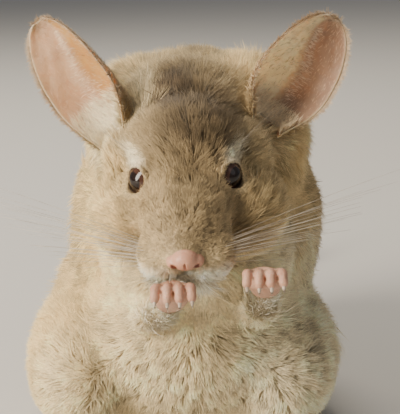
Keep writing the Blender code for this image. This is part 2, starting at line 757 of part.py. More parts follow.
def whiskers(side, frame):
    """The closed, tapered spines of one side, from a patch on the whisker pad."""
    rng = random.Random(11 + side)
    made = []
    for row in range(WHISKER_ROWS):
        for k in range(WHISKERS_IN_ROW):
            back = k / (WHISKERS_IN_ROW - 1)
            root = Vector((9.8 + 2.4 * back, -40.0 + 6.6 * back, -10.6 - 2.6 * row))
            rise = 0.22 - 0.12 * row + 0.08 * (rng.random() - 0.5) + 0.08 * back
            rear = 0.08 + 0.06 * row + 0.20 * back + 0.05 * rng.random()
            way = Vector((1.0, rear, rise)).normalized()
            length = WHISKER_LENGTH * (0.62 + 0.38 * back) * (0.9 + 0.2 * rng.random()) * (1 - 0.10 * row)
            droop = Vector((0, 0.10, -0.10)) * length
            points = []
            for i in range(5):
                t = i / 4
                point = root + way * (length * t) + droop * t * t
                points.append(frame @ Vector((point.x * side, point.y, point.z)))
            step = WHISKER_TIP_RADIUS - WHISKER_ROOT_RADIUS
            bm = bmesh.new()
            limb(bm, points, [WHISKER_ROOT_RADIUS + step * i / 4 for i in range(5)], sides=3)
            made.append(bm)
    return made


def whisker_pad(side_name, head, parts, cutters, workshop):
    """The side of the muzzle with its whiskers, parted from the head."""
    side = 1 if side_name == "left" else -1
    frame = head_matrix()
    pad = carved_out(f"whisker_pad_{side_name}", head, PAD_PARTING, frame, side < 0, parts, cutters)
    for i, bm in enumerate(whiskers(side, frame)):
        object_from(bm, f"whisker_{side_name}_{i}", workshop)
    boolean(pad, workshop, "UNION")
    empty_out(workshop)
    largest_shell(pad)
    return pad


def clear_of(obj, others, cutters, by=GAP):
    """Cuts the object back from each of the others, with a thin gap."""
    for other in others:
        cutter = swollen(other, "clearance", cutters, by)
        boolean(obj, cutter, "DIFFERENCE", "EXACT")
        remove(cutter)
    largest_shell(obj)


def shade(obj, spec):
    """Gives the object its material and soft shading."""
    obj.data.materials.clear()
    obj.data.materials.append(material_of(spec))
    obj.data.shade_smooth()


def centred(parts):
    """Moves every node so that the middle of the model's box stands on the origin."""
    corners = [vert.co for obj in parts.objects for vert in obj.data.vertices]
    middle = Vector((
        (min(c.x for c in corners) + max(c.x for c in corners)) / 2,
        (min(c.y for c in corners) + max(c.y for c in corners)) / 2,
        0.0,
    ))
    for obj in parts.objects:
        obj.data.transform(Matrix.Translation(-middle))


def main():
    """Builds every node."""
    clear_scene()
    parts = collection_named("chinchilla")
    cutters = collection_named("cutters")
    workshop = collection_named("workshop")
    for collection in (cutters, workshop):
        collection.hide_render = True
    body = body_form(cutters)
    cut_to_floor(body, cutters)
    head, neck, torso = part_body(body, parts, cutters)
    remove(body)
    thinned(head, FACES["head"])
    face_details(head, cutters, workshop)
    nose = carved_out("nose", head, NOSE_PARTING, head_matrix(), False, parts, cutters)
    shade(nose, PAW_SKIN)
    pads = [whisker_pad(side_name, head, parts, cutters, workshop) for side_name in ("left", "right")]
    cut_sockets(head, cutters)
    thinned(neck, FACES["neck"])
    thinned(torso, FACES["torso"])
    settled(torso)
    tail_root, tail_brush = tail_nodes(parts, workshop, cutters)
    thighs, feet = [], []
    for side_name, side in (("left", 1), ("right", -1)):
        frame = Matrix.Translation((HIP_SHIFT, 0, 0))
        thigh = carved_out(f"thigh_{side_name}", torso, THIGH_PARTING, frame, side < 0, parts, cutters, 3)
        made = foot(side_name, parts, workshop, cutters)
        clear_of(thigh, [made], cutters)
        thighs.append(thigh)
        feet.append(made)
    clear_of(torso, [*feet, tail_root], cutters)
    for side_name, side in (("left", 1), ("right", -1)):
        eye = ball(f"eye_{side_name}", eye_place(side)[0], EYE_RADIUS, parts)
        shade(eye, EYE_GLOSS)
        made = ear(side_name, parts)
        clear_of(made, [head, neck], cutters)
        shade(made, EAR_SKIN)
        paw = hand(side_name, parts, workshop)
        shade(paw, PAW_SKIN)
        limb_node = arm(side_name, parts, cutters)
        clear_of(limb_node, [torso, head], cutters)
        shade(limb_node, COAT_PALE)
    for obj in (head, neck, torso, *thighs):
        shade(obj, COAT)
    for obj in pads:
        shade(obj, COAT)
    for obj in feet:
        shade(obj, PAW_SKIN)
    for obj in (tail_root, tail_brush):
        shade(obj, TAIL_COAT)
    centred(parts)


main()
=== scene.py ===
"""The looks of a still, life-size chinchilla that sits up on its haunches.

Sizes in the dataclasses are in millimetres, in the animal's own axes: it faces -Y, +Z is up and the floor
is z = 0. `Place` turns them into the frame's metres. Head sizes are in the head's axes, whose nose also
points to -Y.
"""

import logging
import math
from dataclasses import dataclass
from enum import Enum

import bmesh
import bpy
import numpy as np
from mathutils import Matrix, Vector
from mathutils.kdtree import KDTree

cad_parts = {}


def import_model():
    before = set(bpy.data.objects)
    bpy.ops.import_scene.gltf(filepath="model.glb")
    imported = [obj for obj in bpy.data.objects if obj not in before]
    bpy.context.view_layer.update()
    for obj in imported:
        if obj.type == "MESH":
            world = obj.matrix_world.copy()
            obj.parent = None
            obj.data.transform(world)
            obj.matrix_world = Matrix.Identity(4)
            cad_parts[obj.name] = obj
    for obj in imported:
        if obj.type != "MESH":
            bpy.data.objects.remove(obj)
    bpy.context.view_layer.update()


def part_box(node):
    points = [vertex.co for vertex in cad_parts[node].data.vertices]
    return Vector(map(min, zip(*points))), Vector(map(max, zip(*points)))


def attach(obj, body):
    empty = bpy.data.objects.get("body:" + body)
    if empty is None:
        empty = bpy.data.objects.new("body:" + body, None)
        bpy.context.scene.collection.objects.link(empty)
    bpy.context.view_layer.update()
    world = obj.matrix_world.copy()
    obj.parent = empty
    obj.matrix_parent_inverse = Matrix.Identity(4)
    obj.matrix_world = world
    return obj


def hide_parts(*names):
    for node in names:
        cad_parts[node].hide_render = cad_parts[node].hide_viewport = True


LOG = logging.getLogger("chinchilla")
Colour = tuple[float, float, float]
MM = 0.001
BEIGE = (0.47, 0.345, 0.185)
BAKE_MAP = "OFBake"
COLOUR_LAYER = "coat_colour"


class Side(Enum):
    """The animal's own left and right, as the sign of X."""

    LEFT = 1
    RIGHT = -1

    @property
    def word(self) -> str:
        """The side's name in lower case, as the nodes use it."""
        return self.name.lower()


class Region(Enum):
    """The parts of the coat that are pieces of their own."""

    FACE = "face"
    CROWN = "crown"
    CHEST = "chest"
    FLANK_LEFT = "flank_left"
    FLANK_RIGHT = "flank_right"
    BACK = "back"
    LEGS = "legs"
    ARMS = "arms"
    TAIL = "tail"


def smooth_step(low: float, high: float, value: np.ndarray) -> np.ndarray:
    """Rises smoothly from 0 at low to 1 at high.

    Args:
        low: Where it is still 0.
        high: Where it is 1.
        value: The numbers to look up.

    Returns:
        The risen shares.
    """
    t = np.clip((value - low) / (high - low), 0.0, 1.0)
    return t * t * (3.0 - 2.0 * t)


def smooth_fall(low: float, high: float, value: np.ndarray) -> np.ndarray:
    """Falls smoothly from 1 at low to 0 at high."""
    return 1.0 - smooth_step(low, high, value)


def bell(offset: np.ndarray, power: float = 2.0) -> np.ndarray:
    """A bell curve: 1 at offset 0, and flatter on top with a higher power."""
    return np.exp(-np.abs(offset) ** power)


def lengths(vectors: np.ndarray) -> np.ndarray:
    """The length of each row."""
    return np.linalg.norm(vectors, axis=-1)


def unit(vectors: np.ndarray) -> np.ndarray:
    """Scales each row to length one."""
    return vectors / np.maximum(lengths(vectors)[..., None], 1e-12)


def blend(rows: np.ndarray, goal: object, share: np.ndarray) -> np.ndarray:
    """Moves each row some way to a goal.

    Args:
        rows: Numbers, or colours of three numbers.
        goal: One number or colour, or one for each row.
        share: How far each row moves, from 0 to 1.

    Returns:
        The moved rows.
    """
    return rows + (np.array(goal) - rows) * (share[:, None] if rows.ndim == 2 else share)


def mirrored(vector: Vector, sign: int) -> Vector:
    """A vector of the left side, or its mirror image where the sign is -1."""
    return Vector((vector.x * sign, vector.y, vector.z))


def lattice_noise(points: np.ndarray, size: float, seed: int) -> np.ndarray:
    """Smooth random values between 0 and 1, the same for the same place.

    Args:
        points: Rows of three numbers.
        size: How far apart the random values are.
        seed: Which set of random values.

    Returns:
        One value for each row.
    """
    scaled = points / size
    cell = np.floor(scaled).astype(np.int64)
    share = scaled - cell
    share = share * share * (3.0 - 2.0 * share)
    total = np.zeros(len(points))
    for corner in range(8):
        step = np.array([corner & 1, (corner >> 1) & 1, corner >> 2])
        key = cell + step
        # Large primes spread the cells' numbers over all values
        mixed = key[:, 0] * 73856093 ^ key[:, 1] * 19349663 ^ key[:, 2] * 83492791 ^ (seed * 2654435761)
        mixed = (mixed ^ (mixed >> 13)) * 1274126177
        value = ((mixed ^ (mixed >> 16)) & 0xFFFF) / 65535.0
        total += value * np.prod(np.where(step, share, 1.0 - share), axis=1)
    return total


def rows_of(mesh: bpy.types.Mesh, kind: str = "co") -> np.ndarray:
    """What the mesh's vertices hold, as rows.

    Args:
        mesh: The mesh.
        kind: The property: co for the places in metres, or normal.

    Returns:
        One row for each vertex.
    """
    flat = np.empty(len(mesh.vertices) * 3, np.float32)
    mesh.vertices.foreach_get(kind, flat)
    return flat.reshape(-1, 3).astype(np.float64)


def set_points(mesh: bpy.types.Mesh, points: np.ndarray) -> None:
    """Moves the mesh's vertices to the rows' places, in metres."""
    mesh.vertices.foreach_set("co", points.astype(np.float32).ravel())
    mesh.update()


def raise_above(mesh: bpy.types.Mesh, level: float) -> None:
    """Lifts every vertex that lies below a level up to it.

    Args:
        mesh: The mesh, in metres.
        level: The level, in millimetres.
    """
    points = rows_of(mesh)
    points[:, 2] = np.maximum(points[:, 2], level * MM)
    set_points(mesh, points)


@dataclass(frozen=True)
class Place:
    """Where the animal stands in the frame, and how its head is held.

    Attributes:
        shift: From the animal's axes to the frame's, in millimetres.
        eye_middle: The point between the eyes in head axes, about which the head turns.
        head_at: That point in the animal's axes.
        pitch: How far the nose is lowered, in degrees.
        yaw: How far the nose is turned, in degrees.
        roll: How far the left side is raised, in degrees.
    """

    shift: Vector = Vector((0, 0, 0))
    eye_middle: Vector = Vector((0, -6, 3))
    head_at: Vector = Vector((-1.9, -52, 126.3))
    pitch: float = 11.0
    yaw: float = -1.9
    roll: float = 2.0

    def head(self) -> Matrix:
        """The head's axes in the animal's, in millimetres."""
        turn = Matrix.Rotation(math.radians(self.yaw), 4, "Z")
        turn = turn @ Matrix.Rotation(math.radians(self.pitch), 4, "X")
        turn = turn @ Matrix.Rotation(math.radians(-self.roll), 4, "Y")
        return Matrix.Translation(self.head_at) @ turn @ Matrix.Translation(-self.eye_middle)

    def to_frame(self) -> Matrix:
        """The animal's millimetres in the frame's metres."""
        return Matrix.Scale(MM, 4) @ Matrix.Translation(self.shift)

    def head_to_frame(self) -> Matrix:
        """The head's millimetres in the frame's metres."""
        return self.to_frame() @ self.head()

    def points_of(self, mesh: bpy.types.Mesh) -> np.ndarray:
        """A mesh's vertices in the animal's axes, in millimetres."""
        return rows_of(mesh) / MM - np.array(self.shift)

    def head_points(self, points: np.ndarray) -> np.ndarray:
        """Points of the animal's axes in head axes, both in millimetres."""
        back = np.array(self.head().inverted())
        return points @ back[:3, :3].T + back[:3, 3]

    def head_vectors(self, vectors: np.ndarray) -> np.ndarray:
        """Turns vectors from head axes into the animal's."""
        return vectors @ np.array(self.head())[:3, :3].T


@dataclass(frozen=True)
class Blob:
    """An ellipsoid of flesh.

    Attributes:
        centre: Its middle.
        radii: Its half-sizes.
        tilt: Its turn about X, in degrees.
        paired: Whether there is one on each side.
        shift: How far the pair's middle lies off the midline.
    """

    centre: tuple[float, float, float]
    radii: tuple[float, float, float]
    tilt: float = 0.0
    paired: bool = False
    shift: float = 0.0


TRUNK_BLOBS = (
    Blob((4, 18, 116), (48, 46, 51)),
    Blob((20, 10, 128), (29, 38, 38), paired=True, shift=4.0),
    Blob((3, 31, 84), (57.5, 60, 66)),
    Blob((0, 44, 66), (56, 52, 56)),
    Blob((-4, 37, 47), (61, 58, 49.5)),
    Blob((2, -12, 88), (42, 32, 43)),
    Blob((0, -4, 46), (50, 37, 45)),
    Blob((42, 5, 31), (29, 44, 32.5), 8, True, -5.0),
    Blob((-1, -8, 130), (40, 34, 36)),
)
HEAD_BLOBS = (
    Blob((0, 13, 4), (27, 31, 24.5)),
    Blob((0, 30, 5), (31, 26, 27)),
    Blob((0, -18, -5.5), (18.5, 26.5, 15.5), 14),
    Blob((0, -32.5, -7.0), (11.5, 14, 9.0), 16),
    Blob((8.2, -34.0, -13.5), (10.4, 12.5, 9.4), 10, True),
    Blob((20.5, 4, -15), (19.5, 27, 19), 0, True),
    Blob((0, -14, -20), (17, 22, 11), 8),
    Blob((0, -31.5, -23.5), (7.5, 7.5, 5.0)),
    Blob((12.5, 2, 7.5), (10.5, 14.5, 9), 0, True),
    Blob((20, 17, 0), (15, 22, 18), 0, True),
    Blob((0, 8, -22), (24, 25, 16)),
    Blob((0, -45.0, -10.2), (5.6, 4.6, 4.6)),
)
NOSE_TIP = Vector((0, -45.5, -10.2))
EYE_CENTRE = Vector((14.1, -6.6, 2.9))
EYE_GAZE = Vector((0.79, -0.60, 0.14))
EYE_RADIUS = 6.9
ELBOW = {Side.LEFT: Vector((27, -34, 66)), Side.RIGHT: Vector((-18, -34, 64))}
WRIST = {Side.LEFT: Vector((26, -76, 90)), Side.RIGHT: Vector((-8.2, -79.5, 86.6))}
KNUCKLES = {Side.LEFT: Vector((25, -85, 98)), Side.RIGHT: Vector((-7.0, -91.5, 95.8))}
TAIL_ROUTE = (
    (0, 74, 34), (0, 92, 25), (1, 108, 16.5), (5, 126, 13.5), (11, 144, 13.2), (19, 162, 13.6),
    (28, 178, 14.6), (38, 193, 16.2), (47, 204, 18.0),
)
FLESH_NODES = (
    "head", "neck", "torso", "thigh_left", "thigh_right", "arm_left", "arm_right", "tail_root",
    "tail_brush", "whisker_pad_left", "whisker_pad_right",
)


def eye_place(place: Place, side: Side) -> tuple[Vector, Vector]:
    """The eye's middle and its gaze in the animal's axes.

    Args:
        place: How the head is held.
        side: Which eye.

    Returns:
        The middle in millimetres, and the gaze at length one.
    """
    head = place.head()
    gaze = head.to_3x3() @ mirrored(EYE_GAZE, side.value)
    return head @ mirrored(EYE_CENTRE, side.value), gaze.normalized()


def smooth_path(points: list, count: int) -> list[Vector]:
    """Evenly spaced points on a smooth curve through the given ones.

    Args:
        points: What the curve passes through.
        count: How many points to return.

    Returns:
        The points along the curve.
    """
    points = [Vector(p) for p in points]
    padded = [2 * points[0] - points[1], *points, 2 * points[-1] - points[-2]]
    spans = len(points) - 1
    path = []
    for i in range(count):
        t = i / (count - 1) * spans
        k = min(int(t), spans - 1)
        u = t - k
        a, b, c, d = padded[k:k + 4]
        path.append(0.5 * (
            2 * b + (c - a) * u + (2 * a - 5 * b + 4 * c - d) * u * u + (3 * b - a - 3 * c + d) * u ** 3
        ))
    return path


def add_ellipsoid(bm: bmesh.types.BMesh, place: Matrix, blob: Blob, detail: int = 4) -> None:
    """Adds one blob, or its pair, to the bmesh.

    Args:
        bm: What it is added to.
        place: The blob's axes in metres.
        blob: The blob.
        detail: How finely it is divided.
    """
    for sign in (1, -1) if blob.paired else (1,):
        centre = mirrored(Vector(blob.centre), sign) + Vector((blob.shift, 0, 0))
        local = Matrix.Translation(centre) @ Matrix.Rotation(math.radians(blob.tilt), 4, "X")
        local = local @ Matrix.Diagonal((*blob.radii, 1.0))
        bmesh.ops.create_icosphere(bm, subdivisions=detail, radius=1.0, matrix=place @ local)


def add_limb(
    bm: bmesh.types.BMesh, place: Matrix, points: list, radii: list, sides: int = 10, flat: float = 1.0
) -> None:
    """Adds a closed tube through the points, with round rings of the given radii.

    Args:
        bm: What it is added to.
        place: The tube's axes in metres.
        points: The middle of each ring.
        radii: Each ring's radius.
        sides: How many corners a ring has.
        flat: Each ring's height as a share of its width.
    """
    rings = []
    for i, (point, radius) in enumerate(zip(points, radii)):
        ahead = points[min(i + 1, len(points) - 1)] - points[max(i - 1, 0)]
        turn = ahead.to_track_quat("Z", "Y").to_matrix().to_4x4()
        local = Matrix.Translation(point) @ turn @ Matrix.Diagonal((radius, radius * flat, 1.0, 1.0))
        rings.append(bmesh.ops.create_circle(bm, segments=sides, radius=1.0, matrix=place @ local)["verts"])
    for near, far in zip(rings, rings[1:]):
        for k in range(sides):
            m = (k + 1) % sides
            bm.faces.new((near[k], near[m], far[m], far[k]))
    bm.faces.new(list(reversed(rings[0])))
    bm.faces.new(rings[-1])


def new_object(name: str, mesh: bpy.types.Mesh) -> bpy.types.Object:
    """Links a mesh into the scene as an object.

    Args:
        name: The object's name.
        mesh: Its mesh.

    Returns:
        The object.
    """
    obj = bpy.data.objects.new(name, mesh)
    bpy.context.scene.collection.objects.link(obj)
    return obj


def object_from(bm: bmesh.types.BMesh, name: str) -> bpy.types.Object:
    """Makes an object of a bmesh, and frees the bmesh.

    Args:
        bm: The shape.
        name: The object's name.

    Returns:
        The object.
    """
    mesh = bpy.data.meshes.new(name)
    bm.to_mesh(mesh)
    bm.free()
    return new_object(name, mesh)


def apply_modifiers(obj: bpy.types.Object) -> None:
    """Turns the object's evaluated shape into its own mesh.

    Args:
        obj: The object.
    """
    bpy.context.view_layer.update()
    graph = bpy.context.evaluated_depsgraph_get()
    mesh = bpy.data.meshes.new_from_object(obj.evaluated_get(graph))
    obj.modifiers.clear()
    obj.data = mesh


def fuse(obj: bpy.types.Object, voxel: float, smoothing: int) -> None:
    """Melts overlapping shapes into one surface.

    Args:
        obj: The object that holds them.
        voxel: The size of the surface's squares, in millimetres.
        smoothing: How many times it is smoothed.
    """
    remesh = obj.modifiers.new("fuse", "REMESH")
    remesh.mode = "VOXEL"
    remesh.voxel_size = voxel * MM
    smooth = obj.modifiers.new("smooth", "SMOOTH")
    smooth.factor = 0.5
    smooth.iterations = smoothing
    apply_modifiers(obj)


def keep_largest(obj: bpy.types.Object) -> None:
    """Takes away all but the largest connected part of a mesh.

    Args:
        obj: The object.
    """
    bm = bmesh.new()
    bm.from_mesh(obj.data)
    seen = set()
    parts = []
    for start in bm.verts:
        if start.index in seen:
            continue
        seen.add(start.index)
        part = [start]
        for vert in part:
            for edge in vert.link_edges:
                other = edge.other_vert(vert)
                if other.index not in seen:
                    seen.add(other.index)
                    part.append(other)
        parts.append(part)
    parts.sort(key=len)
    small = [vert for part in parts[:-1] for vert in part]
    bmesh.ops.delete(bm, geom=small, context="VERTS")
    bm.to_mesh(obj.data)
    bm.free()


def combine(obj: bpy.types.Object, other: bpy.types.Object, operation: str) -> None:
    """Cuts or joins one closed object with another, which is then removed.

    Args:
        obj: What is changed.
        other: The cutter or the addition.
        operation: DIFFERENCE to cut, or UNION to join.
    """
    modifier = obj.modifiers.new(operation.lower(), "BOOLEAN")
    modifier.operation = operation
    modifier.solver = "MANIFOLD"
    modifier.object = other
    apply_modifiers(obj)
    bpy.data.objects.remove(other)


def finish_with(obj: bpy.types.Object, material: bpy.types.Material) -> None:
    """Gives the whole object one material."""
    obj.data.materials.clear()
    obj.data.materials.append(material)


def paint(mesh: bpy.types.Mesh, colours: np.ndarray) -> None:
    """Stores one colour for each vertex in the colour layer.

    Args:
        mesh: The mesh.
        colours: Rows of three numbers.
    """
    layer = mesh.color_attributes.new(name=COLOUR_LAYER, type="FLOAT_COLOR", domain="POINT")
    rgba = np.ones((len(colours), 4), np.float32)
    rgba[:, :3] = np.clip(colours, 0.0, 1.0)
    layer.data.foreach_set("color", rgba.ravel())


@dataclass(frozen=True)
class Grain:
    """A noise that runs over a surface.

    Attributes:
        scale: How fine it is.
        detail: How many layers it has.
        rough: How strong the finer layers are.
    """

    scale: float
    detail: float
    rough: float = 0.5


@dataclass(frozen=True)
class Relief:
    """A fine roughness of a surface.

    Attributes:
        grain: The noise that it follows.
        strength: How much of it shows.
        height: How high it is, in metres.
    """

    grain: Grain
    strength: float
    height: float


class NodeBench:
    """Puts a material's nodes together with few words."""

    def __init__(self, name: str) -> None:
        """Starts a material with its Principled shader.

        Args:
            name: The material's name.
        """
        self.material = bpy.data.materials.new(name)
        self.material.use_nodes = True
        self.tree = self.material.node_tree
        self.shader = self.tree.nodes["Principled BSDF"]

    def node(self, kind: str, inputs: dict, **properties: str) -> bpy.types.Node:
        """Adds a node.

        Args:
            kind: The node's type name, without its prefix.
            inputs: The values of its inputs, by their names or numbers.
            properties: Properties of the node.

        Returns:
            The node.
        """
        made = self.tree.nodes.new("ShaderNode" + kind)
        for key, value in properties.items():
            setattr(made, key, value)
        for key, value in inputs.items():
            made.inputs[key].default_value = value
        return made

    def noise(self, grain: Grain) -> bpy.types.NodeSocket:
        """A noise in the object's own coordinates.

        Args:
            grain: How it runs.

        Returns:
            The noise's value.
        """
        coordinates = self.node("TexCoord", {})
        inputs = {"Scale": grain.scale, "Detail": grain.detail, "Roughness": grain.rough}
        made = self.node("TexNoise", inputs)
        self.tree.links.new(coordinates.outputs["Object"], made.inputs["Vector"])
        return made.outputs["Fac"]

    def ramp(self, source: bpy.types.NodeSocket, stops: tuple) -> bpy.types.NodeSocket:
        """Turns a number into a colour.

        Args:
            source: The number.
            stops: Pairs of a place and a colour.

        Returns:
            The colour's output.
        """
        made = self.node("ValToRGB", {})
        elements = made.color_ramp.elements
        while len(elements) < len(stops):
            elements.new(0.5)
        for element, (at, colour) in zip(elements, stops):
            element.position = at
            element.color = (*colour, 1.0)
        self.tree.links.new(source, made.inputs["Fac"])
        return made.outputs["Color"]

    def tinted(self, colour: bpy.types.NodeSocket, share: float) -> bpy.types.NodeSocket:
        """Multiplies the colour layer with a colour.

        Args:
            colour: The colour's output.
            share: How strongly it shows.

        Returns:
            The tinted layer's output.
        """
        layer = self.node("Attribute", {}, attribute_name=COLOUR_LAYER)
        made = self.node("Mix", {0: share}, data_type="RGBA", blend_type="MULTIPLY")
        self.tree.links.new(layer.outputs["Color"], made.inputs[6])
        self.tree.links.new(colour, made.inputs[7])
        return made.outputs[2]

    def bump(self, relief: Relief) -> None:
        """Roughens the surface.

        Args:
            relief: The roughness.
        """
        made = self.node("Bump", {"Strength": relief.strength, "Distance": relief.height})
        self.tree.links.new(self.noise(relief.grain), made.inputs["Height"])
        self.tree.links.new(made.outputs["Normal"], self.shader.inputs["Normal"])


@dataclass(frozen=True)
class Finish:
    """The look of one kind of surface.

    Attributes:
        grain: The noise of its colour.
        stops: The colours along that noise, as pairs of a place and a colour.
        shader: The Principled shader's inputs by name.
        tint: How strongly that colour tints the colour layer; at 0 the layer isn't used.
        relief: Its roughness, if it has any.
    """

    grain: Grain
    stops: tuple
    shader: dict
    tint: float = 0.0
    relief: Relief | None = None

    def material(self, name: str) -> bpy.types.Material:
        """Makes the material.

        Args:
            name: Its name.

        Returns:
            The material.
        """
        bench = NodeBench(name)
        colour = bench.ramp(bench.noise(self.grain), self.stops)
        if self.tint > 0.0:
            colour = bench.tinted(colour, self.tint)
        bench.tree.links.new(colour, bench.shader.inputs["Base Color"])
        for key, value in self.shader.items():
            bench.shader.inputs[key].default_value = value
        if self.relief is not None:
            bench.bump(self.relief)
        return bench.material


def flesh(
    pale: Colour, deep: Colour, roughness: float, fineness: float, height: float, tint: float = 0.0
) -> Finish:
    """The finish of bare or thinly haired skin.

    Args:
        pale: The colour of its raised parts.
        deep: The colour of its folds.
        roughness: How dull it is.
        fineness: How fine the skin's relief is.
        height: The relief's height, in metres.
        tint: How strongly it tints the colour layer.

    Returns:
        The finish.
    """
    return Finish(
        grain=Grain(160.0, 4.0, 0.6),
        stops=((0.35, deep), (0.62, pale)),
        shader={
            "Roughness": roughness, "Subsurface Weight": 0.3, "Subsurface Radius": (1.0, 0.42, 0.26),
            "Subsurface Scale": 0.0022,
        },
        tint=tint,
        relief=Relief(Grain(fineness, 3.0), 0.7, height),
    )


COAT = Finish(
    grain=Grain(900.0, 2.0),
    stops=((0.3, (0.82, 0.82, 0.82)), (0.7, (1.12, 1.11, 1.08))),
    shader={"Roughness": 0.62, "Sheen Weight": 0.15, "Sheen Roughness": 0.4, "Specular IOR Level": 0.25},
    tint=1.0,
)
UNDERCOAT = Finish(
    grain=Grain(1400.0, 4.0),
    stops=((0.35, (0.6, 0.6, 0.6)), (0.65, (1.15, 1.12, 1.08))),
    shader={"Roughness": 0.7},
    tint=1.0,
    relief=Relief(Grain(1600.0, 3.0), 0.8, 0.0004),
)
WET_EYE = Finish(
    grain=Grain(700.0, 3.0),
    stops=((0.3, (0.7, 0.7, 0.7)), (0.7, (1.25, 1.2, 1.15))),
    shader={
        "Roughness": 0.2, "Specular IOR Level": 0.15, "Coat Weight": 0.75, "Coat Roughness": 0.02,
        "IOR": 1.4,
    },
    tint=1.0,
)
EAR_SKIN = Finish(
    grain=Grain(95.0, 5.0, 0.62),
    stops=((0.44, (1.0, 1.0, 1.0)), (0.49, (0.93, 0.80, 0.74)), (0.53, (1.0, 1.0, 1.0))),
    shader={
        "Roughness": 0.55, "Subsurface Weight": 0.8, "Subsurface Radius": (1.0, 0.75, 0.55),
        "Subsurface Scale": 0.004, "Specular IOR Level": 0.2,
    },
    tint=0.6,
    relief=Relief(Grain(700.0, 4.0), 0.6, 0.0003),
)
NOSE_SKIN = flesh((0.68, 0.37, 0.25), (0.56, 0.28, 0.18), 0.42, 1500.0, 0.00025, 1.0)
PAW_SKIN = flesh((0.64, 0.38, 0.26), (0.50, 0.27, 0.18), 0.5, 1300.0, 0.0004)
CLAW = Finish(
    grain=Grain(900.0, 2.0),
    stops=((0.3, (0.42, 0.31, 0.23)), (0.7, (0.68, 0.58, 0.47))),
    shader={"Roughness": 0.3},
)
WHISKER = Finish(
    grain=Grain(60.0, 2.0),
    stops=((0.35, (0.26, 0.21, 0.16)), (0.6, (0.62, 0.55, 0.44))),
    shader={"Roughness": 0.35},
)


